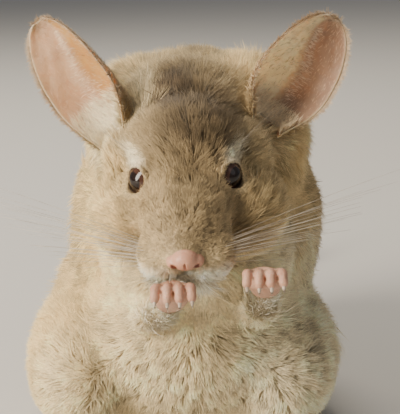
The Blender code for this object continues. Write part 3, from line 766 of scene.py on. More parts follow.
@dataclass(frozen=True)
class Markings:
    """Where the coat is pale, beige or dark, with painted light and shade in some places.

    Attributes:
        place: How the head is held.
        beige: The coat's usual colour.
        cream: The cheeks, the flanks, and the arch of the back, whose paleness is painted light.
        white: The chest and shoulders, partly the belly, and the hair beside the ears, where it is painted
            light.
        snow: The lips, chin and arms: their white, paler as painted light against the shade under the nose
            and the hands.
        brow: The spot over each eye.
        umber: The dark hair of the crown and the forehead, partly painted shade: the animal's right ear's
            cast shadow on the crown, and shade on the forehead.
    """

    place: Place
    beige: Colour = BEIGE
    cream: Colour = (0.78, 0.59, 0.30)
    white: Colour = (0.95, 0.81, 0.535)
    snow: Colour = (0.96, 0.865, 0.69)
    brow: Colour = (0.95, 0.84, 0.60)
    umber: Colour = (0.085, 0.058, 0.035)

    def at(self, points: np.ndarray) -> np.ndarray:
        """The coat's mean colour.

        Args:
            points: Rows in millimetres, in the animal's axes.

        Returns:
            A colour for each row.
        """
        head = self.place.head_points(points)
        colour = np.tile(np.array(self.beige), (len(points), 1))
        colour = self._trunk(self._cheeks(colour, head), points, head)
        colour = self._dark_parts(self._muzzle(colour, head), points, head)
        clouds = lattice_noise(points, 11.0, 3)[:, None]
        patches = lattice_noise(points, 4.6, 4)[:, None]
        return colour * (0.82 + 0.36 * clouds) * (0.81 + 0.38 * patches)

    @staticmethod
    def _near_head(head: np.ndarray) -> np.ndarray:
        """How far rows in head axes belong to the head, from 0 to 1."""
        return smooth_fall(38.0, 60.0, head[:, 1])

    @staticmethod
    def _brow(head: np.ndarray) -> np.ndarray:
        """How far rows in head axes belong to the spot over an eye, from 0 to 1."""
        x, y, z = np.abs(head[:, 0]), head[:, 1], head[:, 2]
        return bell(((x - 17.0) / 4.6) ** 2 + ((y + 3.0) / 7.5) ** 2 + ((z - 9.3) / 3.8) ** 2)

    def _cheeks(self, colour: np.ndarray, head: np.ndarray) -> np.ndarray:
        """Makes the cheeks and the head's underside paler, more on the animal's right than its left as
        painted light and shade.

        Args:
            colour: The rows' colours.
            head: The rows in head axes.

        Returns:
            The changed colours.
        """
        cheek = smooth_step(14.0, 30.0, np.abs(head[:, 0])) * smooth_fall(4.0, 16.0, head[:, 2])
        under = 0.9 * smooth_step(-14.0, -24.0, head[:, 2])
        # Paler on the animal's lit right side than on its shaded left: painted light and shade.
        share = np.where(head[:, 0] < 0.0, 0.95, 0.62) * np.maximum(cheek, under) * self._near_head(head)
        return blend(colour, self.cream, share)

    def _trunk(self, colour: np.ndarray, points: np.ndarray, head: np.ndarray) -> np.ndarray:
        """Adds cream flanks, a white front and shoulders, arms paler still as painted light, and painted
        light on the hair beside the ears.

        Args:
            colour: The rows' colours.
            points: The rows in the animal's axes.
            head: The rows in head axes.

        Returns:
            The changed colours.
        """
        x, y, z = points.T
        flank = (1.0 - self._near_head(head)) * smooth_fall(105.0, 150.0, z)
        colour = blend(colour, self.cream, 0.45 * flank)
        front = smooth_fall(-34.0, -12.0, y) * smooth_fall(88.0, 112.0, z)
        front = front * (0.6 + 0.4 * smooth_step(8.0, 30.0, x))
        colour = blend(colour, self.white, np.maximum(front, 0.5 * smooth_fall(10.0, 34.0, z)))
        shoulder = smooth_step(22.0, 36.0, x) * smooth_fall(4.0, 30.0, y) * smooth_fall(84.0, 98.0, z)
        colour = blend(colour, self.white, 0.85 * shoulder)
        # The arms' white is paler than their hair's as painted light against the hands' shadow.
        for side in Side:
            share, far = arm_share(points, side)
            colour = blend(colour, self.snow, smooth_step(0.1, 0.4, share) * smooth_fall(8.0, 13.0, far))
        # The hair beside and behind the ears is paled, most on the animal's right, as painted light against
        # the ears' cast shadows.
        folded = np.column_stack([np.abs(head[:, 0]), head[:, 1:]])
        beside = lengths((folded - np.array((27.0, 36.0, 17.0))) / np.array((18.0, 30.0, 21.0)))
        pale = np.where(head[:, 0] < 0.0, 1.0, 0.35)
        return blend(colour, self.white, pale * smooth_fall(0.6, 1.3, beside))

    def _muzzle(self, colour: np.ndarray, head: np.ndarray) -> np.ndarray:
        """Makes the lips and the chin white, paler as painted light against the shade under the nose, and
        adds the spot over each eye.

        Args:
            colour: The rows' colours.
            head: The rows in head axes.

        Returns:
            The changed colours.
        """
        # The lips and chin take the snow white, paler than their hair's as painted light.
        lips = smooth_fall(-34.0, -24.0, head[:, 1]) * smooth_fall(-17.0, -12.5, head[:, 2])
        return blend(blend(colour, self.snow, lips), self.brow, self._brow(head))

    def _dark_parts(self, colour: np.ndarray, points: np.ndarray, head: np.ndarray) -> np.ndarray:
        """Darkens the crown, its streak and the forehead, and keeps the arch of the back pale: the crown is
        partly dark hair and partly painted shadow of the animal's right ear, the forehead and bridge partly
        painted shade, and the arch's paleness painted light.

        Args:
            colour: The rows' colours.
            points: The rows in the animal's axes.
            head: The rows in head axes.

        Returns:
            The changed colours.
        """
        x, y, z = head.T
        # The crown's dark patch is partly dark hair and partly the painted shadow cast by the animal's
        # right ear.
        crown = bell((x - 6.5) / 14.0, 4.0) * smooth_step(-22.0, -2.0, y + 0.35 * (z - 18.0))
        crown = crown * smooth_fall(20.0, 28.0, y) * smooth_step(2.0, 10.0, z)
        crown = crown * (0.42 + 0.7 * lattice_noise(points, 6.5, 12))
        # Lighter towards the animal's left, where the head lies in shade: painted light.
        crown = crown * (1.0 - 0.35 * smooth_step(10.0, 26.0, x))
        streak = bell((x + 2.4) / 4.6) * smooth_step(4.0, 12.0, y) * smooth_fall(29.0, 36.0, y)
        streak = 1.25 * streak * smooth_step(4.0, 12.0, z)
        crown = np.clip(crown + streak, 0.0, 0.92) * (1.0 - self._brow(head))
        # The arch of the back is paled: painted light on the top of the back.
        arch = smooth_step(24.0, 44.0, y) * smooth_step(96.0, 128.0, points[:, 2])
        colour = blend(colour, self.cream, 0.85 * arch)
        colour = blend(colour, self.umber, crown)
        # The bridge and forehead darken, partly as darker hair and partly as painted shade.
        bridge = bell(x / 7.0) * smooth_fall(-20.0, 4.0, y) * smooth_step(-12.0, -4.0, z)
        forehead = bell((x - 2.0) / 13.0) * smooth_step(-22.0, -8.0, y) * smooth_step(10.0, 17.0, z)
        return blend(colour, self.umber, np.maximum(0.22 * bridge, 0.5 * forehead * (1.0 - crown)))


@dataclass(frozen=True)
class CoatDepth:
    """How deep the coat is over the skin, and how it stands.

    Attributes:
        place: How the head is held.
        body: The depth on the trunk.
        face: The depth on the forehead and cheeks.
        short: The depth on the snout and under the tail's brush.
        bare: The depth next to the eyes and the nose.
        foot: The depth on the feet, and at the elbows.
        brush: How far the hair of the tail's brush stands out.
    """

    place: Place
    body: float = 9.5
    face: float = 3.6
    short: float = 1.5
    bare: float = 0.7
    foot: float = 4.0
    brush: float = 7.5

    def at(self, points: np.ndarray) -> np.ndarray:
        """The coat's depth.

        Args:
            points: Rows in millimetres, in the animal's axes.

        Returns:
            A depth for each row, in millimetres.
        """
        head = self.place.head_points(points)
        y = head[:, 1]
        depth = self.face + (self.body - self.face) * smooth_step(-12.0, 44.0, y)
        depth = blend(depth, self.short, smooth_fall(-40.0, -14.0, y))
        depth = blend(depth, self.bare, smooth_fall(7.0, 15.0, lengths(head - np.array(NOSE_TIP))))
        for side in Side:
            gaze = np.array(mirrored(EYE_GAZE, side.value))
            front = np.array(mirrored(EYE_CENTRE, side.value)) + gaze / lengths(gaze) * 4.5
            depth = blend(depth, self.bare, smooth_fall(5.0, 13.0, lengths(head - front)))
        for side in Side:
            along, far = arm_share(points, side)
            close = smooth_fall(9.0, 17.0, far) * smooth_step(0.0, 0.15, along)
            depth = blend(depth, self.foot - 2.4 * along, close)
        feet = smooth_fall(4.0, 14.0, points[:, 2]) * smooth_fall(-30.0, -10.0, points[:, 1])
        depth = blend(depth, self.foot, feet)
        tail = np.maximum(smooth_step(88.0, 104.0, points[:, 1]), tail_root(points))
        return blend(depth, self.short, tail)

    def reach(self, points: np.ndarray) -> np.ndarray:
        """How far the hair stands out: the depth, and more at the lips, the chin and the tail's brush.

        Args:
            points: Rows in millimetres, in the animal's axes.

        Returns:
            A height for each row, in millimetres.
        """
        height = self.at(points)
        head = self.place.head_points(points)
        for extra, middle, spread in (
            (1.8, (0.0, -40.0, -17.5), (90.0, 60.0, 10.0)),
            (5.5, (0.0, -37.0, -22.0), (80.0, 60.0, 12.0)),
        ):
            height += extra * np.exp(-((head - np.array(middle)) ** 2 / np.array(spread)).sum(axis=1))
        brush = np.maximum(smooth_step(90.0, 112.0, points[:, 1]), 0.7 * tail_root(points))
        return blend(height, self.brush * (1.0 + 0.9 * smooth_step(172.0, 196.0, points[:, 1])), brush)


def arm_share(points: np.ndarray, side: Side) -> tuple[np.ndarray, np.ndarray]:
    """How far along an arm each point lies, and how far from its middle line.

    Args:
        points: Rows in millimetres, in the animal's axes.
        side: Which arm.

    Returns:
        The share of the way from elbow to wrist, and the distance.
    """
    start, stop = np.array(ELBOW[side]), np.array(WRIST[side])
    way = stop - start
    share = np.clip((points - start) @ way / (way @ way), 0.0, 1.0)
    return share, lengths(points - (start + share[:, None] * way))


def tail_path() -> np.ndarray:
    """The tail's middle line as 40 rows, from its root to its tip."""
    return np.array([tuple(p) for p in smooth_path(list(TAIL_ROUTE), 40)])


def tail_root(points: np.ndarray) -> np.ndarray:
    """How far each point belongs to the tail's root, from 0 to 1.

    Args:
        points: Rows in millimetres, in the animal's axes.

    Returns:
        A share for each row.
    """
    share = smooth_step(76.0, 88.0, points[:, 1])
    behind = np.flatnonzero(share > 0.0)
    far = lengths(points[behind][:, None, :] - tail_path()[None, :16, :]).min(axis=1)
    share[behind] *= smooth_fall(9.0, 15.0, far)
    return share


def tail_way(points: np.ndarray) -> np.ndarray:
    """The direction of the tail's middle line next to each point.

    Args:
        points: Rows in millimetres, in the animal's axes.

    Returns:
        A direction for each row.
    """
    path = tail_path()
    far = ((points[:, None, :] - path[None, :, :]) ** 2).sum(axis=2)
    return unit(np.gradient(path, axis=0))[far.argmin(axis=1)]


@dataclass
class Skin:
    """The body's skin as one closed surface, under the coat.

    Attributes:
        place: Where the animal stands.
        depth: How far it lies inside the tips of the coat.
        voxel: The size of its squares.
        lid_forward: How far ahead of the eye's middle the lids' rim lies.
        lid_thick: The radius of the lids' rim.
        opening: The half-sizes of the opening between the lids.
        mouth_half_width: Half of the mouth's width.
        rim_colour: The colour of the lids' rim.
        lip_colour: The colour that tints the lips.
    """

    place: Place
    depth: CoatDepth
    voxel: float = 1.25
    lid_forward: float = 4.0
    lid_thick: float = 1.0
    opening: tuple[float, float] = (4.35, 4.5)
    mouth_half_width: float = 8.0
    rim_colour: Colour = (0.13, 0.085, 0.06)
    lip_colour: Colour = (0.80, 0.58, 0.50)

    def build(self) -> bpy.types.Object:
        """Models the skin.

        Returns:
            The skin's object.
        """
        bm = bmesh.new()
        for blob in TRUNK_BLOBS:
            add_ellipsoid(bm, self.place.to_frame(), blob)
        trunk = object_from(bm, "trunk")
        fuse(trunk, voxel=2.1, smoothing=40)
        bm = bmesh.new()
        bm.from_mesh(trunk.data)
        bpy.data.objects.remove(trunk)
        for blob in HEAD_BLOBS:
            add_ellipsoid(bm, self.place.head_to_frame(), blob)
        self._add_limbs(bm)
        skin = object_from(bm, "skin")
        fuse(skin, self.voxel, smoothing=6)
        self._sink(skin)
        raise_above(skin.data, 0.6)
        for side in Side:
            self._open_eye(skin, side)
        self._open_mouth(skin)
        skin.data.shade_smooth()
        return skin

    def _add_limbs(self, bm: bmesh.types.BMesh) -> None:
        """Adds the arms and the tail's core.

        Args:
            bm: What they are added to.
        """
        to_frame = self.place.to_frame()
        for side in Side:
            elbow, wrist = ELBOW[side], WRIST[side]
            middle = elbow.lerp(wrist, 0.5) + Vector((0, 0, -3.0))
            way = (KNUCKLES[side] - wrist).normalized()
            path = smooth_path([elbow, middle, wrist + way * 1.5], 9)
            add_limb(bm, to_frame, path, [9.6 - 4.2 * (i / 8) ** 0.8 for i in range(9)], 16, 0.85)
        path = smooth_path(list(TAIL_ROUTE), 28)[:26]
        add_limb(bm, to_frame, path, [8.2 - 4.6 * (i / 25) ** 1.3 for i in range(26)], 14)

    def _sink(self, skin: bpy.types.Object) -> None:
        """Moves the surface in by the coat's depth.

        Args:
            skin: The skin's object.
        """
        depth = self.depth.at(self.place.points_of(skin.data))
        inward = rows_of(skin.data, "normal") * depth[:, None] * MM
        set_points(skin.data, rows_of(skin.data) - inward)
        keep_largest(skin)
        fuse(skin, self.voxel, smoothing=5)
        keep_largest(skin)

    def _open_eye(self, skin: bpy.types.Object, side: Side) -> None:
        """Raises the lids and hollows the socket.

        Args:
            skin: The skin's object.
            side: Which eye.
        """
        to_frame = self.place.to_frame()
        centre, gaze = eye_place(self.place, side)
        ring = math.sqrt(EYE_RADIUS ** 2 - self.lid_forward ** 2) + 0.25
        bm = bmesh.new()
        bmesh.ops.create_circle(
            bm, segments=12, radius=self.lid_thick,
            matrix=Matrix.Translation((ring, 0, 0)) @ Matrix.Rotation(math.pi / 2, 4, "X"),
        )
        bmesh.ops.spin(
            bm, geom=bm.verts[:] + bm.edges[:], cent=(0, 0, 0), axis=(0, 0, 1),
            angle=2 * math.pi, steps=40, use_merge=True,
        )
        bmesh.ops.recalc_face_normals(bm, faces=bm.faces)
        turn = gaze.to_track_quat("Z", "Y").to_matrix().to_4x4()
        lids = to_frame @ (Matrix.Translation(centre + gaze * self.lid_forward) @ turn)
        bmesh.ops.transform(bm, matrix=lids @ Matrix.Diagonal((1, 0.95, 1, 1)), verts=bm.verts)
        combine(skin, object_from(bm, "lid"), "UNION")
        turn = gaze.to_track_quat("Y", "Z").to_matrix().to_4x4()
        gap = Matrix.Translation(centre + gaze * 10) @ turn @ Matrix.Rotation(math.pi / 2, 4, "X")
        bm = bmesh.new()
        bmesh.ops.create_cone(
            bm, cap_ends=True, segments=40, radius1=1.0, radius2=1.0, depth=20.0,
            matrix=to_frame @ gap @ Matrix.Diagonal((*self.opening, 1.0, 1.0)),
        )
        combine(skin, object_from(bm, "opening"), "DIFFERENCE")
        ball = Matrix.Translation(centre) @ Matrix.Scale(EYE_RADIUS + 0.12, 4)
        bm = bmesh.new()
        bmesh.ops.create_icosphere(bm, subdivisions=5, radius=1.0, matrix=to_frame @ ball)
        combine(skin, object_from(bm, "socket"), "DIFFERENCE")

    def _open_mouth(self, skin: bpy.types.Object) -> None:
        """Cuts the mouth's line under the lips, and the cleft up to the nose.

        Args:
            skin: The skin's object.
        """
        curve, radii = [], []
        for i in range(17):
            t = -1 + i / 8
            curve.append(Vector((self.mouth_half_width * t, -41.0 + 8.6 * t * t, -19.4 - 1.4 * t * t)))
            radii.append(0.16 + 0.14 * (1 - abs(t)))
        bm = bmesh.new()
        add_limb(bm, self.place.head_to_frame(), curve, radii, 10, 3.0)
        combine(skin, object_from(bm, "mouth"), "DIFFERENCE")
        cleft = smooth_path([(0, -48.0, -13.6), (0, -44.8, -16.4), (0, -41.0, -19.6)], 7)
        bm = bmesh.new()
        add_limb(bm, self.place.head_to_frame(), cleft, [0.5] * 6 + [0.45], 8, 3.2)
        combine(skin, object_from(bm, "cleft"), "DIFFERENCE")

    def dress(self, skin: bpy.types.Object, markings: Markings) -> None:
        """Paints the skin with the coat's markings, darkened as painted shade where the coat is deep, with
        dark lid rims and a pink mouth.

        Args:
            skin: The skin's object.
            markings: Where the coat is pale or dark.
        """
        local = self.place.points_of(skin.data)
        short = smooth_fall(1.2, 4.0, self.depth.at(local))
        # Under deep coat the skin is darkened: painted shade between the hairs.
        colour = markings.at(local) * (0.7 + 0.25 * short)[:, None]
        head = self.place.head_points(local)
        for side in Side:
            far = lengths(head - np.array(mirrored(EYE_CENTRE, side.value)))
            colour = blend(colour, self.rim_colour, smooth_fall(7.05, 7.6, far))
        lips = smooth_fall(3.0, 6.0, lengths(head - np.array((0, -41.5, -18.5))))
        paint(skin.data, blend(colour, self.lip_colour, 0.5 * lips))
        finish_with(skin, UNDERCOAT.material("skin"))


@dataclass
class Roots:
    """Where the coat's tufts grow.

    Attributes:
        points: The root of each tuft, in millimetres in the animal's axes.
        normals: The skin's outward direction there.
    """

    points: np.ndarray
    normals: np.ndarray


@dataclass(frozen=True)
class Lock:
    """How one kind of tuft is shaped.

    Attributes:
        width: Its mean width at the root, in millimetres.
        clump: How far apart the clumps are that tips draw together in, in millimetres.
        gather: How strongly the tips draw together.
        wander: How far single tufts turn from the coat's lie, in radians.
        stand: How far each stands up from the skin, in radians.
        bend: How far it bends back down towards its tip, in radians.
        ragged: How much lengths differ.
        dark_tips: The share of clumps with dark tips.
        breaks: How much the coat parts into patches that stand up or lie down, in radians.
        root_shade: The brightness of a tuft's root, as a share of its middle's.
    """

    width: float = 0.6
    clump: float = 3.4
    gather: float = 0.5
    wander: float = 0.36
    stand: float = 0.84
    bend: float = 0.5
    ragged: float = 0.3
    dark_tips: float = 0.42
    breaks: float = 0.75
    root_shade: float = 0.42


@dataclass(frozen=True)
class Growth:
    """How one region of the coat grows.

    Attributes:
        count: How many tufts it has.
        lock: How they are shaped.
        middle: The point that the region is unwrapped about.
    """

    count: int
    lock: Lock = Lock()
    middle: tuple[float, float, float] = (0, 22, 76)


GROWTHS = {
    Region.FACE: Growth(
        65000,
        Lock(width=0.27, clump=2.3, gather=0.42, wander=0.38, stand=0.66, bend=0.3,
             dark_tips=0.36, breaks=0.24, root_shade=0.74),
        (-1.9, -44, 120.3),
    ),
    Region.CROWN: Growth(
        56000,
        Lock(width=0.38, clump=2.8, gather=0.45, wander=0.42, stand=0.88, bend=0.4,
             dark_tips=0.40, breaks=0.5, root_shade=0.62),
        (-1.9, -22, 112.3),
    ),
    Region.CHEST: Growth(
        60000,
        Lock(width=0.42, clump=3.2, gather=0.35, wander=0.4, stand=0.80,
             dark_tips=0.26, breaks=0.34, root_shade=0.8),
    ),
    Region.FLANK_LEFT: Growth(47000),
    Region.FLANK_RIGHT: Growth(47000),
    Region.BACK: Growth(47000),
    Region.LEGS: Growth(
        58000,
        Lock(width=0.44, gather=0.35, wander=0.4, stand=0.80, dark_tips=0.26, breaks=0.28, root_shade=0.82),
    ),
    Region.ARMS: Growth(
        5200,
        Lock(width=0.28, clump=1.6, gather=0.2, wander=0.2, stand=0.5, bend=0.45,
             dark_tips=0.0, breaks=0.1, root_shade=1.0),
        (3, -56, 76),
    ),
    Region.TAIL: Growth(
        26000,
        Lock(width=0.55, clump=5.0, wander=0.24, stand=0.44, bend=0.35, ragged=0.35,
             dark_tips=0.5, breaks=0.4, root_shade=0.5),
        (12, 140, 14),
    ),
}


@dataclass
class Coat:
    """The fur as thin tapered tufts in joined meshes.

    Attributes:
        place: Where the animal stands.
        depth: How deep the coat is.
        markings: Its colours.
    """

    place: Place
    depth: CoatDepth
    markings: Markings

    def regions(self, points: np.ndarray) -> dict[Region, np.ndarray]:
        """Which points lie in each region: the first whose rule holds.

        Args:
            points: Rows in millimetres, in the animal's axes.

        Returns:
            A truth for each row, for each region.
        """
        x, y, z = points.T
        arms = np.zeros(len(points), bool)
        for side in Side:
            along, far = arm_share(points, side)
            arms |= (far < 11.0) & (along > 0.12) & (y < -40.0) & (z < 96.0)
        rules = {
            Region.FACE: (self.place.head_points(points)[:, 1] < 14.0) & (y < -30.0) & (z > 86.0),
            Region.TAIL: y > 96.0,
            Region.ARMS: arms,
            Region.LEGS: (z < 62.0) & (y < 34.0),
            Region.CROWN: (z > 112.0) & (y < 14.0),
            Region.CHEST: y < -2.0,
            Region.BACK: np.abs(x - 2.0) < 26.0,
            Region.FLANK_LEFT: x > 0.0,
            Region.FLANK_RIGHT: x <= 0.0,
        }
        free = np.ones(len(points), bool)
        for region, rule in rules.items():
            rules[region] = rule & free
            free &= ~rule
        return rules

    def scatter(self, mesh: bpy.types.Mesh, region: Region, count: int, seed: int) -> Roots:
        """Spreads roots over one region of the skin, closer on the muzzle and none on the soles.

        Args:
            mesh: The skin, in metres.
            region: The region.
            count: How many roots.
            seed: The seed of the draw.

        Returns:
            The roots.
        """
        rng = np.random.default_rng(seed)
        mesh.calc_loop_triangles()
        flat = np.empty(len(mesh.loop_triangles) * 3, np.int32)
        mesh.loop_triangles.foreach_get("vertices", flat)
        corners = flat.reshape(-1, 3)
        points = self.place.points_of(mesh)
        normals = rows_of(mesh, "normal")
        a, b, c = (points[corners[:, i]] for i in range(3))
        weight = 0.5 * lengths(np.cross(b - a, c - a))
        middle = (a + b + c) / 3.0
        facing = unit(normals[corners].sum(axis=1))
        sole = (middle[:, 2] < 2.5) & (facing[:, 2] < -0.5)
        weight = weight * (self.regions(middle)[region] & ~sole)
        if region is Region.FACE:
            weight = weight * (1.0 + 1.6 * smooth_fall(-34.0, -8.0, self.place.head_points(middle)[:, 1]))
        picked = rng.choice(len(corners), size=count, p=weight / weight.sum())
        u, v = rng.random(count), rng.random(count)
        over = u + v > 1.0
        u[over], v[over] = 1.0 - u[over], 1.0 - v[over]
        share = np.stack([1.0 - u - v, u, v], axis=1)[:, :, None]
        spots = corners[picked]
        return Roots((points[spots] * share).sum(axis=1), unit((normals[spots] * share).sum(axis=1)))

    def lie(self, points: np.ndarray, normals: np.ndarray) -> np.ndarray:
        """Which way the hair runs over the skin.

        Args:
            points: Rows in millimetres, in the animal's axes.
            normals: The skin's normals there.

        Returns:
            A direction along the skin for each row.
        """
        head = self.place.head_points(points)
        # On the muzzle the hair runs away from the nose, and on the forehead from a point ahead of it
        farther = smooth_step(-30.0, 2.0, head[:, 1])[:, None]
        source = np.array((0.0, -50.0, -9.0)) - farther * np.array((0.0, 50.0, 8.0))
        on_head = self.place.head_vectors(unit(head - source))
        on_trunk = np.tile(np.array((0.0, 0.72, -0.78)), (len(points), 1))
        way = blend(on_head, on_trunk, smooth_step(6.0, 46.0, head[:, 1]))
        for side in Side:
            along, far = arm_share(points, side)
            arm_way = np.array((WRIST[side] - ELBOW[side]).normalized())
            paw_way = np.array((KNUCKLES[side] - WRIST[side]).normalized())
            down_arm = blend(np.tile(arm_way, (len(points), 1)), paw_way, smooth_step(0.55, 0.88, along))
            way = blend(way, down_arm, smooth_fall(9.0, 16.0, far) * smooth_step(0.05, 0.4, along))
        feet = smooth_fall(6.0, 20.0, points[:, 2]) * smooth_fall(-30.0, 0.0, points[:, 1])
        way = way + np.array((0.0, -1.6, 0.0)) * feet[:, None]
        tail = smooth_step(84.0, 100.0, points[:, 1])
        if tail.max() > 0.0:
            way = blend(way, tail_way(points), tail)
        swirl = (lattice_noise(points, 14.0, 21) - 0.5) * 1.1 * (1.0 - tail)
        way = way + np.cross(way, normals) * swirl[:, None]
        return unit(way - normals * (way * normals).sum(axis=1, keepdims=True))

    def grow(self, name: str, roots: Roots, growth: Growth, seed: int) -> bpy.types.Object:
        """Grows one piece of the coat.

        Args:
            name: The piece's name.
            roots: Where its tufts grow.
            growth: How they grow.
            seed: The seed of the draw.

        Returns:
            The piece.
        """
        rng = np.random.default_rng(seed)
        lock, points, normals = growth.lock, roots.points, roots.normals
        count = len(points)
        way = self.lie(points, normals)
        owner = self._clumps(points, lock, rng)
        clump_turn = rng.normal(0.0, 0.22, count)[owner]
        swell = lattice_noise(points, 5.5, 33) + 0.6 * lattice_noise(points, 2.4, 34) - 0.8
        clump_stand = rng.normal(0.0, 0.07, count)[owner] + lock.breaks * swell
        turn = clump_turn + rng.normal(0.0, lock.wander, count)
        way = unit(way * np.cos(turn)[:, None] + np.cross(way, normals) * np.sin(turn)[:, None])
        stand = np.clip(lock.stand + clump_stand + rng.normal(0.0, 0.12, count), 0.16, 1.35)
        length = self.depth.reach(points) / np.sin(np.clip(stand - 0.05, 0.2, 1.4))
        length = np.clip(length, 1.3, 26.0) * (1.0 + lock.ragged * (rng.random(count) - 0.62))
        rise, fall = stand + lock.bend * 0.5, np.maximum(stand - lock.bend * 0.5, 0.05)
        first = way * np.cos(rise)[:, None] + normals * np.sin(rise)[:, None]
        second = way * np.cos(fall)[:, None] + normals * np.sin(fall)[:, None]
        base = points - normals * 0.35
        middle = base + first * (length * 0.45)[:, None]
        tip = middle + second * (length * 0.55)[:, None]
        pull = lock.gather * (0.75 + 0.5 * rng.random(count))
        tip = blend(tip, tip[owner], pull)
        middle = blend(middle, middle[owner], pull * 0.45)
        for spots in (tip, middle):
            spots[:, 2] = np.maximum(spots[:, 2], 0.5)
        keep = self._clear(middle, tip)
        colours = self._colours(points, owner, lock, rng)
        data = (base[keep], middle[keep], tip[keep], normals[keep])
        return self.strands(name, data, [c[keep] for c in colours], lock.width, rng, Vector(growth.middle))

    @staticmethod
    def _clumps(points: np.ndarray, lock: Lock, rng: np.random.Generator) -> np.ndarray:
        """Sorts the tufts into clumps.

        Args:
            points: The tufts' roots.
            lock: How far apart the clumps are.
            rng: Draws the tufts that the others draw together with.

        Returns:
            For each tuft the index of the one in the middle of its clump.
        """
        count = len(points)
        span = np.sort(points.max(axis=0) - points.min(axis=0))
        rough_area = max(2.0 * span[1] * span[2], 1.0)
        wanted = int(min(max(rough_area / lock.clump ** 2, 8), count / 4))
        tree = KDTree(wanted)
        for i in rng.choice(count, size=wanted, replace=False):
            tree.insert(points[i], int(i))
        tree.balance()
        return np.fromiter((tree.find(p)[1] for p in points), dtype=np.int64, count=count)

    def _clear(self, middle: np.ndarray, tip: np.ndarray) -> np.ndarray:
        """Which tufts leave the eyes, the ears' cups and the nose free.

        Args:
            middle: The tufts' middles.
            tip: The tufts' tips.

        Returns:
            A truth for each tuft.
        """
        keep = np.ones(len(tip), bool)
        for side in Side:
            centre, gaze = (np.array(part) for part in eye_place(self.place, side))
            ear = Ear(self.place, side)
            for spots in (middle, tip, (middle + tip) / 2):
                offset = spots - centre
                ahead = offset @ gaze
                wide = lengths(offset - ahead[:, None] * gaze)
                keep &= ~((ahead > 1.0) & (wide < 4.9)) & ~ear.holds(spots)
        nose = self.place.head() @ (NOSE_TIP + Vector((0, -1.6, 0.3)))
        return keep & (lengths((tip - np.array(nose)) / np.array((6.0, 5.4, 5.0))) > 1.0)

    def _colours(
        self, points: np.ndarray, owner: np.ndarray, lock: Lock, rng: np.random.Generator
    ) -> list[np.ndarray]:
        """The colours at each tuft's root, middle and tip.

        Args:
            points: The tufts' roots.
            owner: For each tuft the index of the one in the middle of its clump.
            lock: How they are shaded.
            rng: Draws how they differ.

        Returns:
            The three sets of colours.
        """
        mean = self.markings.at(points)
        count = len(points)
        fleck = lattice_noise(points, 4.2, 8) * 0.6 + lattice_noise(points, 1.9, 9) * 0.4
        dark = (rng.random(count)[owner] * 0.5 + fleck * 0.5) < lock.dark_tips
        clump_tone = np.clip(rng.normal(1.0, 0.10, count), 0.7, 1.3)[owner]
        tip = np.where(dark, 0.54, 1.18) * clump_tone * (0.90 + 0.20 * rng.random(count))
        middle = clump_tone * (0.94 + 0.12 * rng.random(count))
        short = smooth_fall(1.2, 4.0, self.depth.at(points))
        root = lock.root_shade + (0.85 - lock.root_shade) * short
        return [mean * share[:, None] for share in (root, middle, tip)]

    def strands(
        self, name: str, data: tuple, colours: list, width: float, rng: np.random.Generator, centre: Vector
    ) -> bpy.types.Object:
        """Joins tufts into one mesh.

        Args:
            name: The piece's name.
            data: The tufts' roots, middles, tips and outward directions.
            colours: Their colours at root, middle and tip.
            width: Their width at the root, in millimetres.
            rng: Draws their turns and widths.
            centre: The middle that the piece is unwrapped about, in millimetres.

        Returns:
            The piece.
        """
        base, middle, tip, normals = data
        count = len(base)
        along = unit(tip - base)
        flat_way = unit(np.cross(along, normals))
        roll = rng.normal(0.0, 0.55, count)
        up = unit(np.cross(flat_way, along))
        across = flat_way * np.cos(roll)[:, None] + up * np.sin(roll)[:, None]
        facing = unit(np.cross(across, along))
        flip = np.where((facing * normals).sum(axis=1) < 0, -1.0, 1.0)[:, None]
        across, facing = across * flip, facing * flip
        half = across * (width * (0.75 + 0.5 * rng.random(count)) * 0.5)[:, None]
        # Each tuft has a four-sided lower part and a three-sided upper one
        upper = half * 0.9
        corners = np.stack([base - half, base + half, middle + upper, middle - upper, tip], axis=1)
        mesh = bpy.data.meshes.new(name)
        places = (corners.reshape(-1, 3) + np.array(self.place.shift)) * MM
        mesh.vertices.add(count * 5)
        mesh.vertices.foreach_set("co", places.astype(np.float32).ravel())
        order = np.array([0, 1, 2, 3, 3, 2, 4])
        loops = np.arange(count)[:, None] * 5 + order
        mesh.loops.add(count * 7)
        mesh.loops.foreach_set("vertex_index", loops.astype(np.int32).ravel())
        starts = np.arange(count)[:, None] * 7 + np.array([0, 4])
        mesh.polygons.add(count * 2)
        mesh.polygons.foreach_set("loop_start", starts.astype(np.int32).ravel())
        mesh.update()
        self._unwrap(mesh, base, centre, order)
        shades = np.stack([colours[0], colours[0], colours[1], colours[1], colours[2]], axis=1)
        paint(mesh, shades.reshape(-1, 3))
        mesh.shade_smooth()
        soft = unit(normals * 0.8 + facing * 0.45)
        mesh.normals_split_custom_set_from_vertices(np.repeat(soft, 5, axis=0).astype(np.float32))
        return new_object(name, mesh)

    @staticmethod
    def _unwrap(mesh: bpy.types.Mesh, base: np.ndarray, centre: Vector, order: np.ndarray) -> None:
        """Maps each tuft as a small patch at its root's place on the skin unwrapped about a middle.

        Args:
            mesh: The tufts' mesh.
            base: Their roots.
            centre: The middle, in millimetres.
            order: Which of a tuft's corners each of its loops uses.
        """
        ray = unit(base - np.array(centre))
        spots = []
        for value in (np.arctan2(ray[:, 0], -ray[:, 1]), np.arcsin(np.clip(ray[:, 2], -1.0, 1.0))):
            low, high = value.min(), value.max()
            spots.append(0.01 + 0.98 * (value - low) / max(high - low, 1e-6))
        patch = 0.0015 * np.array([(-1, -1), (1, -1), (1, 0), (-1, 0), (0, 1)])
        spread = np.stack(spots, axis=1)[:, None, :] + patch[None, order, :]
        layer = mesh.uv_layers.new(name=BAKE_MAP)
        layer.data.foreach_set("uv", np.clip(spread, 0.0, 1.0).astype(np.float32).ravel())


